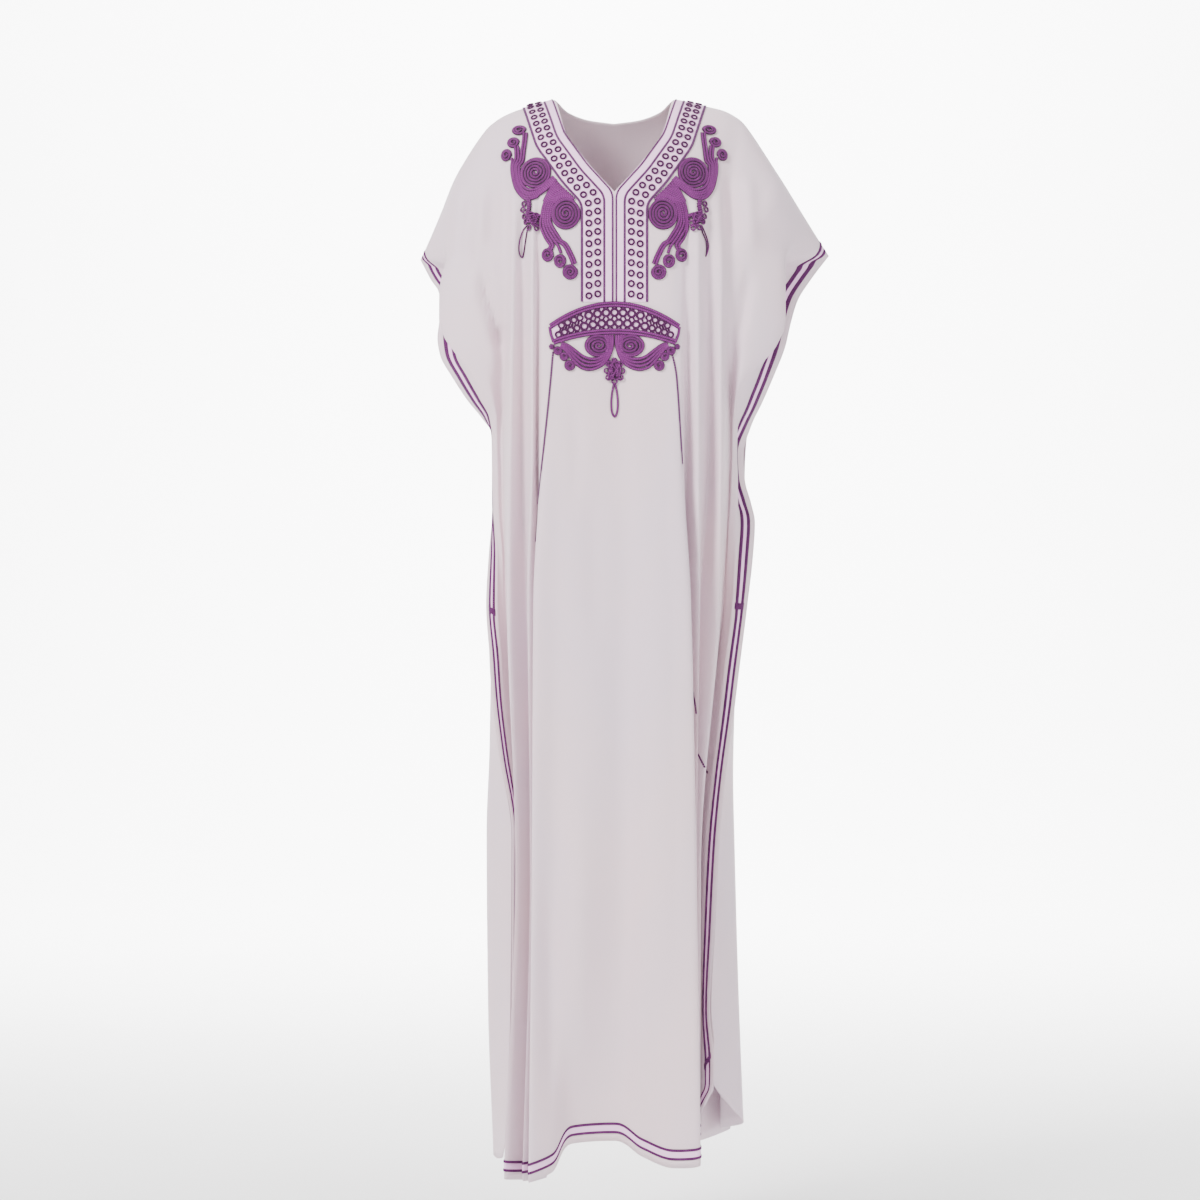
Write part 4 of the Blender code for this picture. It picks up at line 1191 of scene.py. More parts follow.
def plaited(name, colour, strands, lean, depth, contrast, painted_groove_shade=0.0):
    """Braided cord: crossing strands and worn lighter spots, with painted shade low on the cord's sides and a
    lighter painted top.
    """
    made, tree, shader = painted(
        name, Roughness=0.62, Specular_IOR_Level=0.22, Sheen_Weight=0.06, Sheen_Roughness=0.5
    )
    plait = surface(tree, shader, plait_group(), Strands=strands, Lean=lean, Depth=depth)
    dark, light = shaded(colour, 1 - contrast), shaded(colour, 1 + contrast)
    strand = two_tones(tree, plait.outputs["Strand"], dark, light, 0.3, 0.95)
    worn = two_tones(tree, plait.outputs["Wear"], (0.82, 0.80, 0.82), (1, 1, 1), 0.3, 0.6)
    shares = tree.nodes.new("ShaderNodeUVMap")
    shares.uv_map = "shares"
    parts = tree.nodes.new("ShaderNodeSeparateXYZ")
    tree.links.new(shares.outputs["UV"], parts.inputs["Vector"])
    turn = math_node(tree, "MULTIPLY", parts.outputs["X"], 2 * math.pi)
    # Painted shade: by the angle round the cord, its sides and underside are darkened and its top, where
    # light falls, is left lightest
    low = shaded((1, 1, 1), 1 - painted_groove_shade)
    sides = two_tones(tree, math_node(tree, "SINE", turn), low, (1, 1, 1), 0.5, 0.97)
    coloured = multiplied(tree, multiplied(tree, strand, worn), sides)
    tree.links.new(coloured, shader.inputs["Base Color"])
    return made


def look(name):
    """One of the kaftan's materials, made when it is first asked for."""
    if name in bpy.data.materials:
        return bpy.data.materials[name]
    s = settings()
    if name == "pale_crepe":
        return crepe(name, s.cloth_colour, s.blush_colour, 950.0, 0.16, 0.62, 0.22)
    if name == "band_cotton":
        return crepe(name, s.band_colour, shaded(s.band_colour, 0.94), 700.0, 0.25, 0.72, 0.05)
    braids = {
        "dark_braid": (s.braid_colour, 380.0, 1.1, 0.8, 0.45),
        "line_braid": (s.line_colour, 420.0, 1.1, 0.7, 0.4),
        "border_braid": (s.border_colour, 110.0, 1.0, 0.8, 0.6),
        # The scroll cord's last value is how dark its painted shade on the cords' sides is
        "scroll_cord": (s.cord_colour, 120.0, 1.0, 0.8, 0.6, 0.86),
    }
    return plaited(name, *braids[name])


def cloth_shell(name, side, node_name):
    """A panel as a thin shell on its fine grid."""
    bm = bmesh.new()
    laid_grid(bm, cloth_places(side), flip=side == "back")
    return finished(name, bm, look("pale_crepe"), [node_name], settings().cloth_wall, 80)


def border_places(distances):
    """Points of the border on the front, from the left shoulder round the hem to the right shoulder, and the
    ways out of the cloth there. Each distance in from the edge, in mm, is worked out from the height."""
    panel = front_and_back()[0]
    probe = np.linspace(0, 1, SIDE_STEPS)
    lines = []
    for distance in distances:
        hem_in = distance(HEM_Z) * MM
        sides = []
        for edge in (0, panel.last):
            top_z, hem_z = (float(z[0]) for z in panel.tops(np.array([float(edge)]))[1:3])
            share = probe * (1 - hem_in / (top_z - hem_z))
            away = np.array([[distance(z) * MM for z in top_z + (hem_z - top_z) * share]])
            sides.append((panel.from_edge(edge, share, away)[0], share))
        (left, left_share), (right, right_share) = sides
        at = np.linspace(left[-1], right[-1], HEM_STEPS)
        top_z, hem_z = panel.tops(at)[1:3]
        hem_share = 1 - hem_in / (top_z - hem_z)
        ats = np.concatenate([left, at[1:-1], right[::-1]])
        lines.append((ats, np.concatenate([left_share, hem_share[1:-1], right_share[::-1]])))
    ats, shares = (np.array(values).T for values in zip(*lines))
    kernel = np.hanning(EASE_STEPS + 2)[1:-1]
    kernel /= kernel.sum()
    for line in (*ats.T, *shares.T):
        line[:] = np.convolve(np.pad(line, EASE_STEPS // 2, mode="edge"), kernel, mode="valid")
    near, nearer = (panel.places(np.clip(ats + step, 0, panel.last), shares) for step in (0.01, -0.01))
    below, above = (panel.places(ats, np.clip(shares + step, 0, 1)) for step in (0.001, -0.001))
    ways = unit(np.cross(near - nearer, above - below))
    if np.mean(ways[len(ways) // 2, :, 1]) > 0:
        ways = -ways
    return panel.places(ats, shares), ways


def closed_side(z):
    """1 where the side is sewn shut, 0 above and below it."""
    top, foot = TACK_HEIGHTS
    return smooth((top - z / MM) / TACK_FADE) * smooth((z / MM - foot) / TACK_FADE)


def line_half(z):
    """Half the width of a border line at this height, in mm."""
    hem = smooth((TACK_HEIGHTS[1] - z / MM) / TACK_FADE)
    width = SLEEVE_LINE + (SEAM_LINE - SLEEVE_LINE) * closed_side(z)
    return float((width * (1 - hem) + HEM_LINE * hem) / 2)


def line_in(which, z):
    """How far in from the edge a border line's middle lies at this height, in mm."""
    return float(BORDER_LINES[which] + (SEAM_LINES[which] - BORDER_LINES[which]) * closed_side(z))


def border_tape():
    """The pale tape under the border's lines."""
    bm = bmesh.new()
    distances = [lambda z, d=d: d for d in np.linspace(*BORDER_TAPE, len(TAPE_LIFTS))]
    places, ways = border_places(distances)
    add_strip(bm, places, ways, np.array(TAPE_LIFTS) * MM, flip=False)
    return finished("border_tape", bm, look("band_cotton"))


def border_lines():
    """The border's two lines of braid."""
    bm = bmesh.new()
    shares, lifts = np.array(LINE_PROFILE).T
    for which in (0, 1):
        distances = [lambda z, q=q, w=which: line_in(w, z) + q * line_half(z) for q in shares]
        places, ways = border_places(distances)
        add_strip(bm, places, ways, lifts * MM, flip=False)
    return finished("border_braid_lines", bm, look("border_braid"), ["front_border_braid"])


def border_tacks():
    """The dense stitched bars across the border, above and below each closed side."""
    panel = front_and_back()[0]
    bm = bmesh.new()
    for height in TACK_HEIGHTS:
        for edge in (0, panel.last):
            top_z, hem_z = (z[0] for z in panel.tops(np.array([float(edge)]))[1:3])
            zs = np.linspace(height - TACK_LENGTH / 2, height + TACK_LENGTH / 2, 5) * MM
            shares = (top_z - zs) / (top_z - hem_z)
            distances = np.linspace(*TACK_REACH, len(TACK_LIFTS)) * MM
            ats = panel.from_edge(edge, shares, np.repeat(distances[:, None], len(shares), 1)).T
            places = panel.places(ats, shares[:, None])
            near = panel.places(np.clip(ats + 0.02, 0, panel.last), shares[:, None])
            below = panel.places(ats, shares[:, None] + 0.001)
            ways = unit(np.cross(near - places + 1e-9, places - below))
            if ways[2, 2, 1] > 0:
                ways = -ways
            add_strip(bm, places, ways, np.array(TACK_LIFTS) * MM, flip=edge == 0)
    return finished("border_tacks", bm, look("border_braid"))


def offset_paths(turns, first_way):
    """The corners of a neck edge and the way that each moves as the line is set further out."""
    turns = np.array(turns, float)
    ways = [np.array(first_way)]
    for k in range(1, len(turns)):
        before = unit(turns[k] - turns[k - 1])
        normal = np.array([-before[1], before[0]])
        if k == len(turns) - 1:
            at_nape = turns[k - 1][0] > 0
            ways.append(np.array([0.0, 1 / normal[1]]) if at_nape else normal)
            continue
        after = unit(turns[k + 1] - turns[k])
        other = np.array([-after[1], after[0]])
        mitre = normal + other
        ways.append(mitre / np.dot(mitre, normal))
    return turns, np.array(ways)


def band_line(turns, first_way, away, step=3.0):
    """Points of x and z, in mm, this far out from a neck edge."""
    corners, ways = offset_paths(turns, first_way)
    return evenly(rounded(corners + ways * away), step)


def rounded(points):
    """The same line with its inner corners eased."""
    points = np.asarray(points, float)
    made = [points[0]]
    for k in range(1, len(points) - 1):
        a, b, c = points[k - 1], points[k], points[k + 1]
        ease = min(CORNER_EASE, 0.3 * np.linalg.norm(b - a), 0.3 * np.linalg.norm(c - b))
        start, end = b + unit(a - b) * ease, b + unit(c - b) * ease
        for t in np.linspace(0, 1, 7):
            made.append(start * (1 - t) ** 2 + 2 * b * t * (1 - t) + end * t * t)
    made.append(points[-1])
    return np.array(made)


def mirrored(points):
    """The same points of x and z on the other side of the centre line."""
    return np.array(points, float) * np.array([-1.0, 1.0])


def band_cloth(name, side, turns, replaces):
    """The band's own cloth along a neck edge, both halves."""
    bm = bmesh.new()
    lines = [band_line(turns, RIDGE_WAY, away) for away in np.linspace(BAND_INNER, BAND_OUTER, BAND_COLUMNS)]
    share = np.linspace(0, 1, max(len(line) for line in lines))
    lines = [
        np.stack([np.interp(share, np.linspace(0, 1, len(line)), values) for values in line.T], -1)
        for line in lines
    ]
    lifts = [EDGE_LIFT * MM] + [BAND_LIFT * MM] * (BAND_COLUMNS - 2) + [EDGE_LIFT * MM]
    for sign in (1.0, -1.0):
        places, ways = onto_cloth(side, np.stack(lines, 1) * np.array([sign, 1.0]))
        add_strip(bm, places, ways, lifts, flip=(sign > 0) == (side == "front"))
    return finished(name, bm, look("band_cotton"), replaces)


def band_lines(name, side, turns):
    """The fine lines along the band, both halves."""
    bm = bmesh.new()
    for away, width in BAND_LINES:
        line = band_line(turns, RIDGE_WAY, away)
        for path in (line, mirrored(line)):
            add_cloth_cord(bm, side, path, width * MM, 1.0 * MM, 0.5 * MM, sides=6)
    closed(bm)
    return finished(name, bm, look("line_braid"))


def ring_mesh():
    """One corded ring, lying flat, made by spinning a small circle."""
    if "ring" not in _kept:
        s = settings()
        bm = bmesh.new()
        made = bmesh.ops.create_circle(bm, segments=RING_SIDES, radius=s.ring_cord / 2)["verts"]
        turn = Matrix.Rotation(math.pi / 2, 4, "X")
        bmesh.ops.transform(bm, matrix=Matrix.Translation((s.ring_radius, 0, 0)) @ turn, verts=made)
        bmesh.ops.spin(
            bm, geom=made + list(bm.edges), axis=(0, 0, 1), cent=(0, 0, 0), steps=RING_STEPS,
            angle=2 * math.pi, use_merge=True,
        )
        bmesh.ops.remove_doubles(bm, verts=bm.verts, dist=0.01 * MM)
        bmesh.ops.recalc_face_normals(bm, faces=bm.faces)
        uv, round_uv = uv_layers(bm)
        for face in bm.faces:
            for loop in face.loops:
                co = loop.vert.co
                around = math.atan2(co.y, co.x)
                loop[uv].uv = (co.z, around * s.ring_radius)
                # The share round the ring's own cord, by which a cord material lays its painted shade on the
                # ring's sides
                out = math.hypot(co.x, co.y) - s.ring_radius
                loop[round_uv].uv = (math.atan2(co.z, out) / (2 * math.pi) % 1, 0.5)
        mesh = bpy.data.meshes.new("one_ring")
        bm.to_mesh(mesh)
        bm.free()
        _kept["ring"] = mesh
    return _kept["ring"]


def add_rings(bm, side, spots, scale=1.0, lift=RING_LIFT):
    """Rings laid on the cloth at points of x and z, in mm."""
    places, ways = onto_cloth(side, spots)
    for place, way in zip(places, ways):
        turn = Vector((0, 0, 1)).rotation_difference(Vector(way)).to_matrix().to_4x4()
        before = len(bm.verts)
        bm.from_mesh(ring_mesh())
        bm.verts.ensure_lookup_table()
        fresh = bm.verts[before:]
        size = Matrix.Diagonal((scale, scale, RING_FLATNESS, 1.0))
        off = Vector(place) + Vector(way) * (lift * MM + settings().ring_cord * RING_SEAT)
        bmesh.ops.transform(bm, matrix=Matrix.Translation(off) @ turn @ size, verts=fresh)


def ring_spots(side, turns, away, skip_end):
    """Even places for rings along a neck edge, measured on the cloth itself."""
    line = band_line(turns, RIDGE_WAY, away, 1.5)
    places, _ = onto_cloth(side, line)
    lengths = np.concatenate([[0.0], np.cumsum(np.linalg.norm(np.diff(places, axis=0), axis=1))]) / MM
    count = int((lengths[-1] - skip_end) / RING_STEP + 0.5)
    at = RING_STEP * (0.5 + np.arange(count))
    return np.stack([np.interp(at, lengths, column) for column in line.T], -1)


def band_rings(name, side, turns, skip_end):
    """The two rows of rings along a neck edge, both halves."""
    bm = bmesh.new()
    for away in RING_ROWS:
        spots = ring_spots(side, turns, away, skip_end)
        for path in (spots, mirrored(spots)):
            add_rings(bm, side, path)
    return finished(name, bm, look("dark_braid"))


def crescent_line(edge, half, count=60, shift=0.0):
    """Points of x and z along a curved border of the crescent, in mm."""
    apex, end = edge
    x = np.linspace(-half, half, count)
    return np.stack([x, apex + shift + (end - apex) * (x / half) ** 2], -1)


def crescent_ground():
    """The crescent's pale ground."""
    bm = bmesh.new()
    top = crescent_line(CRESCENT_TOP, CRESCENT_HALF)
    foot = crescent_line(CRESCENT_FOOT, CRESCENT_FOOT_HALF)
    lifts = [EDGE_LIFT * MM] + [1.0 * MM] * 7 + [EDGE_LIFT * MM]
    spots = np.stack([top * (1 - t) + foot * t for t in np.linspace(0, 1, len(lifts))], 1)
    places, ways = onto_cloth("front", spots)
    add_strip(bm, places, ways, lifts, flip=False)
    return finished("crescent_ground", bm, look("band_cotton"), ["crescent"])


def crescent_cords():
    """The pairs of cords along the crescent's two borders, and the cord that closes each end."""
    bm = bmesh.new()
    width, height = CRESCENT_CORD
    for shift in CRESCENT_CORDS:
        for edge, half in ((CRESCENT_TOP, CRESCENT_HALF), (CRESCENT_FOOT, CRESCENT_FOOT_HALF)):
            line = evenly(crescent_line(edge, half, 60, shift), 2.6)
            add_cloth_cord(bm, "front", line, width * MM, height * MM, 0.9 * MM)
    width, height = CRESCENT_END_CORD
    for sign in (-1, 1):
        top, foot = (sign * CRESCENT_HALF, CRESCENT_TOP[1]), (sign * CRESCENT_FOOT_HALF, CRESCENT_FOOT[1])
        middle = ((top[0] + foot[0]) / 2 + sign, (top[1] + foot[1]) / 2)
        line = evenly(np.array([top, middle, foot], float), 2.6)
        add_cloth_cord(bm, "front", line, width * MM, height * MM, 1.0 * MM)
    closed(bm)
    return finished("crescent_cords", bm, look("scroll_cord"))


def lattice_row(share, shift):
    """Middles of one row of rings, at this share of the way from the crescent's top to its foot."""
    top = crescent_line(CRESCENT_TOP, CRESCENT_HALF, 200)
    foot = crescent_line(CRESCENT_FOOT, CRESCENT_FOOT_HALF, 200)
    line = top * (1 - share) + foot * share
    count = int(CRESCENT_HALF * 1.3 // LATTICE_STEP)
    xs = (np.arange(-count, count + 1) + shift) * LATTICE_STEP
    even, squeeze = LATTICE_DENSER
    xs = np.sign(xs) * (np.minimum(np.abs(xs), even) + np.maximum(np.abs(xs) - even, 0) * squeeze)
    xs = xs[np.abs(xs) < 0.94 * CRESCENT_FOOT_HALF]
    return np.stack([xs, np.interp(xs, line[:, 0], line[:, 1])], -1)


def crescent_lattice():
    """Two rows of rings on crossing cords."""
    cords, rings = bmesh.new(), bmesh.new()
    upper, lower = (lattice_row(share, shift) for share, shift in LATTICE_ROWS)
    for spot in (*upper, *lower):
        size = LATTICE_RING if abs(spot[0]) < LATTICE_DENSER[0] else 1.0
        add_rings(rings, "front", spot[None], size, LATTICE_RING_LIFT)
    width, height = LATTICE_CORD
    for a in upper:
        for b in lower:
            if abs(a[0] - b[0]) >= 0.8 * LATTICE_STEP:
                continue
            out = unit(b - a) * LATTICE_OUT
            rim = unit(b - a) * LATTICE_RIM
            for pair in ((a + rim, b - rim), (a - out, a - rim), (b + rim, b + out)):
                line = evenly(np.array(pair), 2.0)
                add_cloth_cord(cords, "front", line, width * MM, height * MM, 0.9 * MM, 6)
    closed(cords)
    made = finished("crescent_lattice", cords, look("dark_braid"))
    return made, finished("crescent_rings", rings, look("dark_braid"))


def coil_path(coil, pitch, margin):
    """A coil from its rim inwards, as points of x and z in mm."""
    turns = max(1.0, (min(coil.half_width, coil.half_height) - margin) / pitch)
    t = np.linspace(0, turns + RIM_TURN, int((turns + RIM_TURN) * 30))
    share = 1 - np.maximum(t - RIM_TURN, 0) / turns * (1 - 0.3 / turns)
    angle = coil.angle + coil.way * t * 2 * math.pi
    x = coil.x + (coil.half_width - margin) * share * np.cos(angle)
    z = coil.z + (coil.half_height - margin) * share * np.sin(angle)
    return np.stack([x, z], -1)


def between(guides, share):
    """The line at this share of the way from the inner guide to the outer one."""
    rows = np.array(guides, float)
    return rows[:, :2] * (1 - share) + rows[:, 2:] * share


def bundle_paths(guides, tails):
    """Each cord of a bundle: between its guides, then on with its own group to a coil."""
    made = []
    for tail in tails:
        middle = (len(tail.shares) - 1) / 2
        points = np.array(tail.points, float)
        for k, share in enumerate(tail.shares):
            body = between(guides, share)
            way = unit(np.gradient(np.concatenate([body[-1:], points]), axis=0))[1:]
            across = np.stack([way[:, 1], -way[:, 0]], -1)
            outward = np.sign(across[0] @ (between(guides, 1)[-1] - between(guides, 0)[-1]))
            made.append(np.concatenate([body, points + across * outward * (k - middle) * TAIL_STEP]))
    return made


def scroll(name, sides, bundles, coils, replaces):
    """A scroll of bundled cords and coils; sides says whether it is laid as is, mirrored, or both."""
    s = settings()
    bm = bmesh.new()
    width = s.cord_width / MM
    rng = np.random.default_rng(len(name))
    for sign in sides:
        flip = np.array([sign, 1.0])
        for path in bundles:
            lift = 0.25 * MM + float(rng.uniform(0, 0.3)) * MM
            add_cloth_cord(bm, "front", spaced(path, 2.4) * flip, s.cord_width, s.cord_height, lift)
        for coil in coils:
            path = evenly(coil_path(coil, width * COIL_PITCH, width * COIL_MARGIN), 2.1)
            lift = np.linspace(0.3, 0.9, len(path)) * MM
            add_cloth_cord(bm, "front", path * flip, s.cord_width, s.cord_height, lift)
    closed(bm)
    return finished(name, bm, look("scroll_cord"), replaces)


def knot_path(middle, size, lean=0.0):
    """A thread that crosses itself over and under, as x, z and how far it stands off, in mm."""
    t = np.linspace(0, 2 * math.pi, 300)
    x, z = size[0] * np.sin(4 * t + 0.4), size[1] * np.sin(5 * t)
    turned_x = x * math.cos(lean) - z * math.sin(lean)
    turned_z = x * math.sin(lean) + z * math.cos(lean)
    return np.stack([middle[0] + turned_x, middle[1] + turned_z], -1), 1.7 + 1.2 * np.sin(20 * t)


def add_twined(bm, path, flip):
    """Two cords twined round each other along a line of x and z, in mm."""
    path = spaced(path, 1.0)
    way = unit(np.gradient(path, axis=0))
    across = np.stack([way[:, 1], -way[:, 0]], -1)
    width, height = TWINED_CORD
    for start in (0.0, math.pi):
        phase = np.arange(len(path)) * 2 * math.pi / TWINE_TURN + start
        spots = path + across * (TWINE * np.sin(phase))[:, None]
        places, ways = onto_cloth("front", spots * flip)
        add_cord(bm, places, ways, width * MM, height * MM, (1.2 + 0.9 * np.cos(phase)) * MM, sides=7)


def knot_and_loop(name, sign, knot, lean, stems, beads, bead_signs, loop, replaces, loop_width):
    """A corded knot with twined stems, small side loops and a hanging loop."""
    bm = bmesh.new()
    flip = np.array([sign, 1.0])
    for bead_sign in bead_signs:
        for k, (x, z) in enumerate(beads):
            if bead_sign < 0 and abs(x) < 0.5:
                continue
            spots = np.array([[x * bead_sign, z]]) * flip
            add_rings(bm, "front", spots, 0.86, 1.2 + 0.8 * (k % 2))
    (x, z), (half_width, half_height) = knot
    core = evenly(coil_path(Coil(x, z, half_width, half_height, 0.0, 1), 3.4, 0.6), 2.1)
    width, height = KNOT_CORE
    add_cloth_cord(bm, "front", core * flip, width * MM, height * MM, 0.2 * MM)
    for stem in stems:
        add_twined(bm, stem, flip)
    path, stand = knot_path(*knot, lean)
    width, height = KNOT_THREAD
    add_cloth_cord(bm, "front", path * flip, width * MM, height * MM, stand * MM, sides=7)
    add_cloth_cord(bm, "front", spaced(loop, 2.0) * flip, loop_width * MM, LOOP_HEIGHT * MM, 0.5 * MM)
    closed(bm)
    return finished(name, bm, look("scroll_cord"), replaces)


def stitches():
    """Small running stitches on the front, left out where the line crosses from one fold to the next."""
    bm = bmesh.new()
    for line in STITCH_LINES:
        path = spaced(line, STITCH_STEP)
        way = unit(np.gradient(path, axis=0))
        for spot, along in zip(path, way):
            half = along * STITCH_LENGTH / 2
            places, ways = onto_cloth("front", np.stack([spot - half, spot, spot + half]))
            if np.ptp(places[:, 1]) < STITCH_LENGTH * MM:
                add_cord(bm, places, ways, STITCH_WIDTH * MM, STITCH_HEIGHT * MM, 0.05 * MM, 5)
    closed(bm)
    return finished("front_stitches", bm, look("line_braid"))


class KAFTAN_OT_cloth(bpy.types.Operator):
    """Make the front and the back panel as thin crepe shells with their folds and creases"""

    bl_idname = "kaftan.cloth"
    bl_label = "Front and back cloth"

    def execute(self, context):
        front = cloth_shell("front_cloth", "front", "front_panel")
        back = cloth_shell("back_cloth", "back", "back_panel")
        return {"FINISHED"}


class KAFTAN_OT_border(bpy.types.Operator):
    """Lay the double braid of the border on the front, with its tape and its bar tacks"""

    bl_idname = "kaftan.border"
    bl_label = "Border"

    def execute(self, context):
        border_tape()
        border_lines()
        border_tacks()
        return {"FINISHED"}


class KAFTAN_OT_neck_band(bpy.types.Operator):
    """Make the neck band, its lines and its rings, on the front and round the nape"""

    bl_idname = "kaftan.neck_band"
    bl_label = "Neck band"

    def execute(self, context):
        band_cloth("neck_band_cloth", "front", NECK_TURNS, ["neck_band_front"])
        band_cloth("nape_band_cloth", "back", NAPE_TURNS, ["neck_band_back"])
        band_lines("neck_band_lines", "front", NECK_TURNS)
        band_lines("nape_band_lines", "back", NAPE_TURNS)
        band_rings("neck_band_rings", "front", NECK_TURNS, CRESCENT_GAP)
        band_rings("nape_band_rings", "back", NAPE_TURNS, NAPE_GAP)
        return {"FINISHED"}


class KAFTAN_OT_crescent(bpy.types.Operator):
    """Make the crescent: its ground, its corded borders and its lattice of rings"""

    bl_idname = "kaftan.crescent"
    bl_label = "Crescent"

    def execute(self, context):
        crescent_ground()
        crescent_cords()
        crescent_lattice()
        return {"FINISHED"}


class KAFTAN_OT_scrolls(bpy.types.Operator):
    """Coil the cords of the shoulder scrolls and of the scroll under the crescent"""

    bl_idname = "kaftan.scrolls"
    bl_label = "Scrolls"

    def execute(self, context):
        bundles = bundle_paths(UPPER_GUIDES, UPPER_TAILS) + bundle_paths(LOWER_GUIDES, LOWER_TAILS)
        bundles += [between(LOWER_GUIDES, share)[:4] for share in LOWER_STARTS]
        for name, sign in (("left_shoulder_scroll", -1.0), ("right_shoulder_scroll", 1.0)):
            scroll(name + "_cords", [sign], bundles, SHOULDER_COILS, [name])
        chest = [between(CHEST_GUIDES, share) for share in CHEST_SHARES]
        scroll("chest_scroll_cords", [1.0, -1.0], chest, CHEST_COILS, ["chest_scroll"])
        return {"FINISHED"}


class KAFTAN_OT_knots(bpy.types.Operator):
    """Tie the knots and hang their loops"""

    bl_idname = "kaftan.knots"
    bl_label = "Knots and loops"

    def execute(self, context):
        knot_and_loop(
            "left_knot_and_loop", -1.0, SHOULDER_KNOT, 0.3, SHOULDER_STEMS, SHOULDER_BEADS, [1.0], LOOP_OPEN,
            ["left_knot_loop"], 1.9,
        )
        knot_and_loop(
            "right_knot_and_loop", 1.0, SHOULDER_KNOT, 0.3, SHOULDER_STEMS, SHOULDER_BEADS, [1.0],
            LOOP_TWISTED, ["right_knot_loop"], 1.9,
        )
        knot_and_loop(
            "chest_knot_and_loop", 1.0, CHEST_KNOT, 0.0, CHEST_STEMS, CHEST_BEADS, [1.0, -1.0], CHEST_LOOP,
            ["chest_knot_loop"], 2.8,
        )
        return {"FINISHED"}


class KAFTAN_OT_stitches(bpy.types.Operator):
    """Sew the fine lines of stitches on the front"""

    bl_idname = "kaftan.stitches"
    bl_label = "Stitches"

    def execute(self, context):
        stitches()
        return {"FINISHED"}


def plain_paint(name, colour, roughness):
    """Even matt paint with the faintest change of tone."""
    made, tree, shader = painted(name, Roughness=roughness)
    where = tree.nodes.new("ShaderNodeTexCoord")
    speckle = node(tree, "ShaderNodeTexNoise", Scale=3.0, Detail=3.0)
    tree.links.new(where.outputs["Object"], speckle.inputs["Vector"])
    tone = two_tones(tree, speckle.outputs["Fac"], shaded(colour, 0.99), colour, 0.4, 0.6)
    tree.links.new(tone, shader.inputs["Base Color"])
    return made


def studio_floor(floor_z):
    """The floor and the backdrop that bends up from it."""
    bm = bmesh.new()
    bmesh.ops.create_grid(bm, x_segments=1, y_segments=1, size=FLOOR_HALF)
    far = [edge for edge in bm.edges if all(vert.co.y > FLOOR_HALF - 0.1 for vert in edge.verts)]
    risen = bmesh.ops.extrude_edge_only(bm, edges=far)["geom"]
    raised = [item for item in risen if isinstance(item, bmesh.types.BMVert)]
    bmesh.ops.translate(bm, vec=(0, 0, BACKDROP_HEIGHT), verts=raised)
    bend = [
        edge for edge in bm.edges
        if all(abs(vert.co.y - FLOOR_HALF) < 0.01 and vert.co.z < 0.01 for vert in edge.verts)
    ]
    bmesh.ops.bevel(
        bm, geom=bend, offset=BEND_RADIUS, segments=BEND_SEGMENTS, profile=0.5, affect="EDGES", material=-1
    )
    bmesh.ops.translate(bm, vec=(0, 0, floor_z), verts=bm.verts)
    mesh = bpy.data.meshes.new("studio_floor")
    bm.to_mesh(mesh)
    bm.free()
    mesh.materials.append(plain_paint("studio_white", (0.93, 0.93, 0.93), 0.9))
    mesh.shade_smooth()
    floor = bpy.data.objects.new("studio_floor", mesh)
    bpy.context.scene.collection.objects.link(floor)


def area_light(lamp):
    """One of the studio's soft lights."""
    data = bpy.data.lights.new(lamp.name, "AREA")
    data.shape = "RECTANGLE"
    data.size, data.size_y = lamp.size
    data.energy = lamp.power
    data.color = lamp.colour
    made = bpy.data.objects.new(lamp.name, data)
    bpy.context.scene.collection.objects.link(made)
    made.location = lamp.place
    made.rotation_euler = (Vector(lamp.target) - Vector(lamp.place)).to_track_quat("-Z", "Y").to_euler()


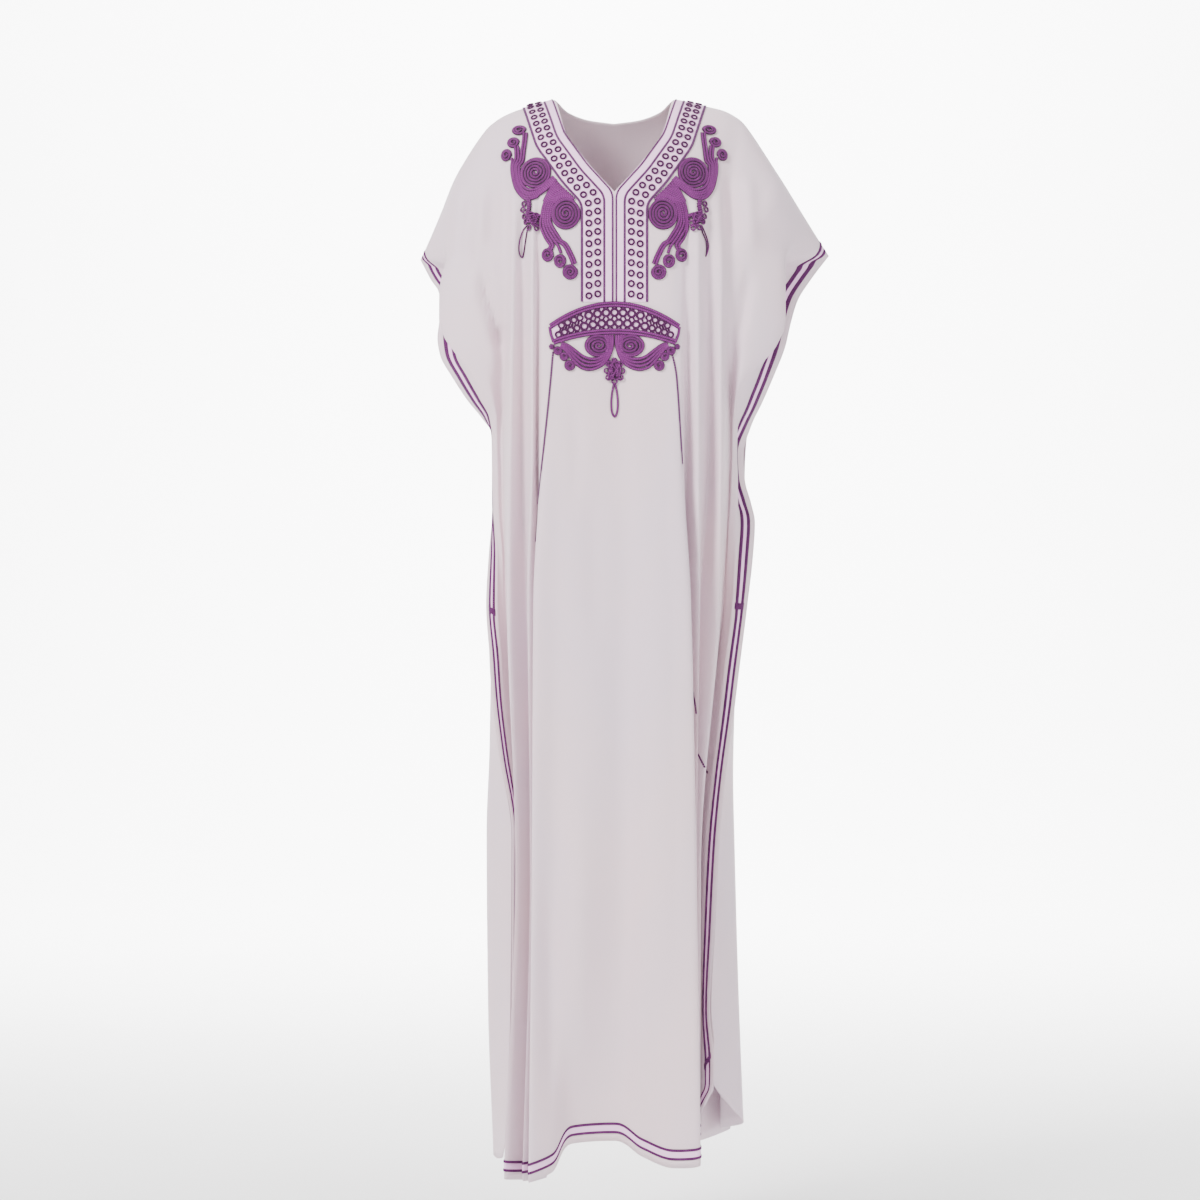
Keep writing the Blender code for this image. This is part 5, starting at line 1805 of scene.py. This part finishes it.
class KAFTAN_OT_stage(bpy.types.Operator):
    """Set up the pale floor and backdrop, the soft lights and the camera"""

    bl_idname = "kaftan.stage"
    bl_label = "Studio"

    def execute(self, context):
        s = settings()
        scene = context.scene
        studio_floor(s.floor_z)
        world = bpy.data.worlds.new("studio_air")
        scene.world = world
        world.use_nodes = True
        world.node_tree.nodes["Background"].inputs["Color"].default_value = (1, 1, 1, 1)
        world.node_tree.nodes["Background"].inputs["Strength"].default_value = AIR_STRENGTH
        for lamp in LAMPS:
            area_light(lamp)
        data = bpy.data.cameras.new("camera")
        data.sensor_width = SENSOR_WIDTH
        data.lens = SENSOR_WIDTH * s.camera_away / s.frame_width
        camera = bpy.data.objects.new("camera", data)
        scene.collection.objects.link(camera)
        camera.location = (CAMERA_X, -s.camera_away, CAMERA_Z)
        camera.rotation_euler = (math.pi / 2, 0, 0)
        scene.camera = camera
        return {"FINISHED"}


class KAFTAN_PT_panel(bpy.types.Panel):
    """Lists the pieces of the kaftan"""

    bl_idname = "KAFTAN_PT_panel"
    bl_label = "Kaftan"
    bl_space_type = "VIEW_3D"
    bl_region_type = "UI"
    bl_category = "Kaftan"

    def draw(self, context):
        column = self.layout.column(align=True)
        for operator in OPERATORS:
            column.operator(operator.bl_idname)
        for name in KaftanSettings.__annotations__:
            column.prop(context.scene.kaftan, name)


OPERATORS = (
    KAFTAN_OT_cloth,
    KAFTAN_OT_border,
    KAFTAN_OT_neck_band,
    KAFTAN_OT_crescent,
    KAFTAN_OT_scrolls,
    KAFTAN_OT_knots,
    KAFTAN_OT_stitches,
    KAFTAN_OT_stage,
)


def register():
    """Register the settings, the operators and the panel."""
    for each in (KaftanSettings, *OPERATORS, KAFTAN_PT_panel):
        bpy.utils.register_class(each)
    bpy.types.Scene.kaftan = bpy.props.PointerProperty(type=KaftanSettings)


def unregister():
    """Take them out again, in reverse."""
    del bpy.types.Scene.kaftan
    for each in (KAFTAN_PT_panel, *OPERATORS[::-1], KaftanSettings):
        bpy.utils.unregister_class(each)


def main():
    """Make every piece in order, then the studio."""
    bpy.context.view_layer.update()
    register()
    bpy.ops.kaftan.cloth()
    bpy.ops.kaftan.border()
    bpy.ops.kaftan.neck_band()
    bpy.ops.kaftan.crescent()
    bpy.ops.kaftan.scrolls()
    bpy.ops.kaftan.knots()
    bpy.ops.kaftan.stitches()
    bpy.ops.kaftan.stage()


if __name__ == "__main__":
    main()
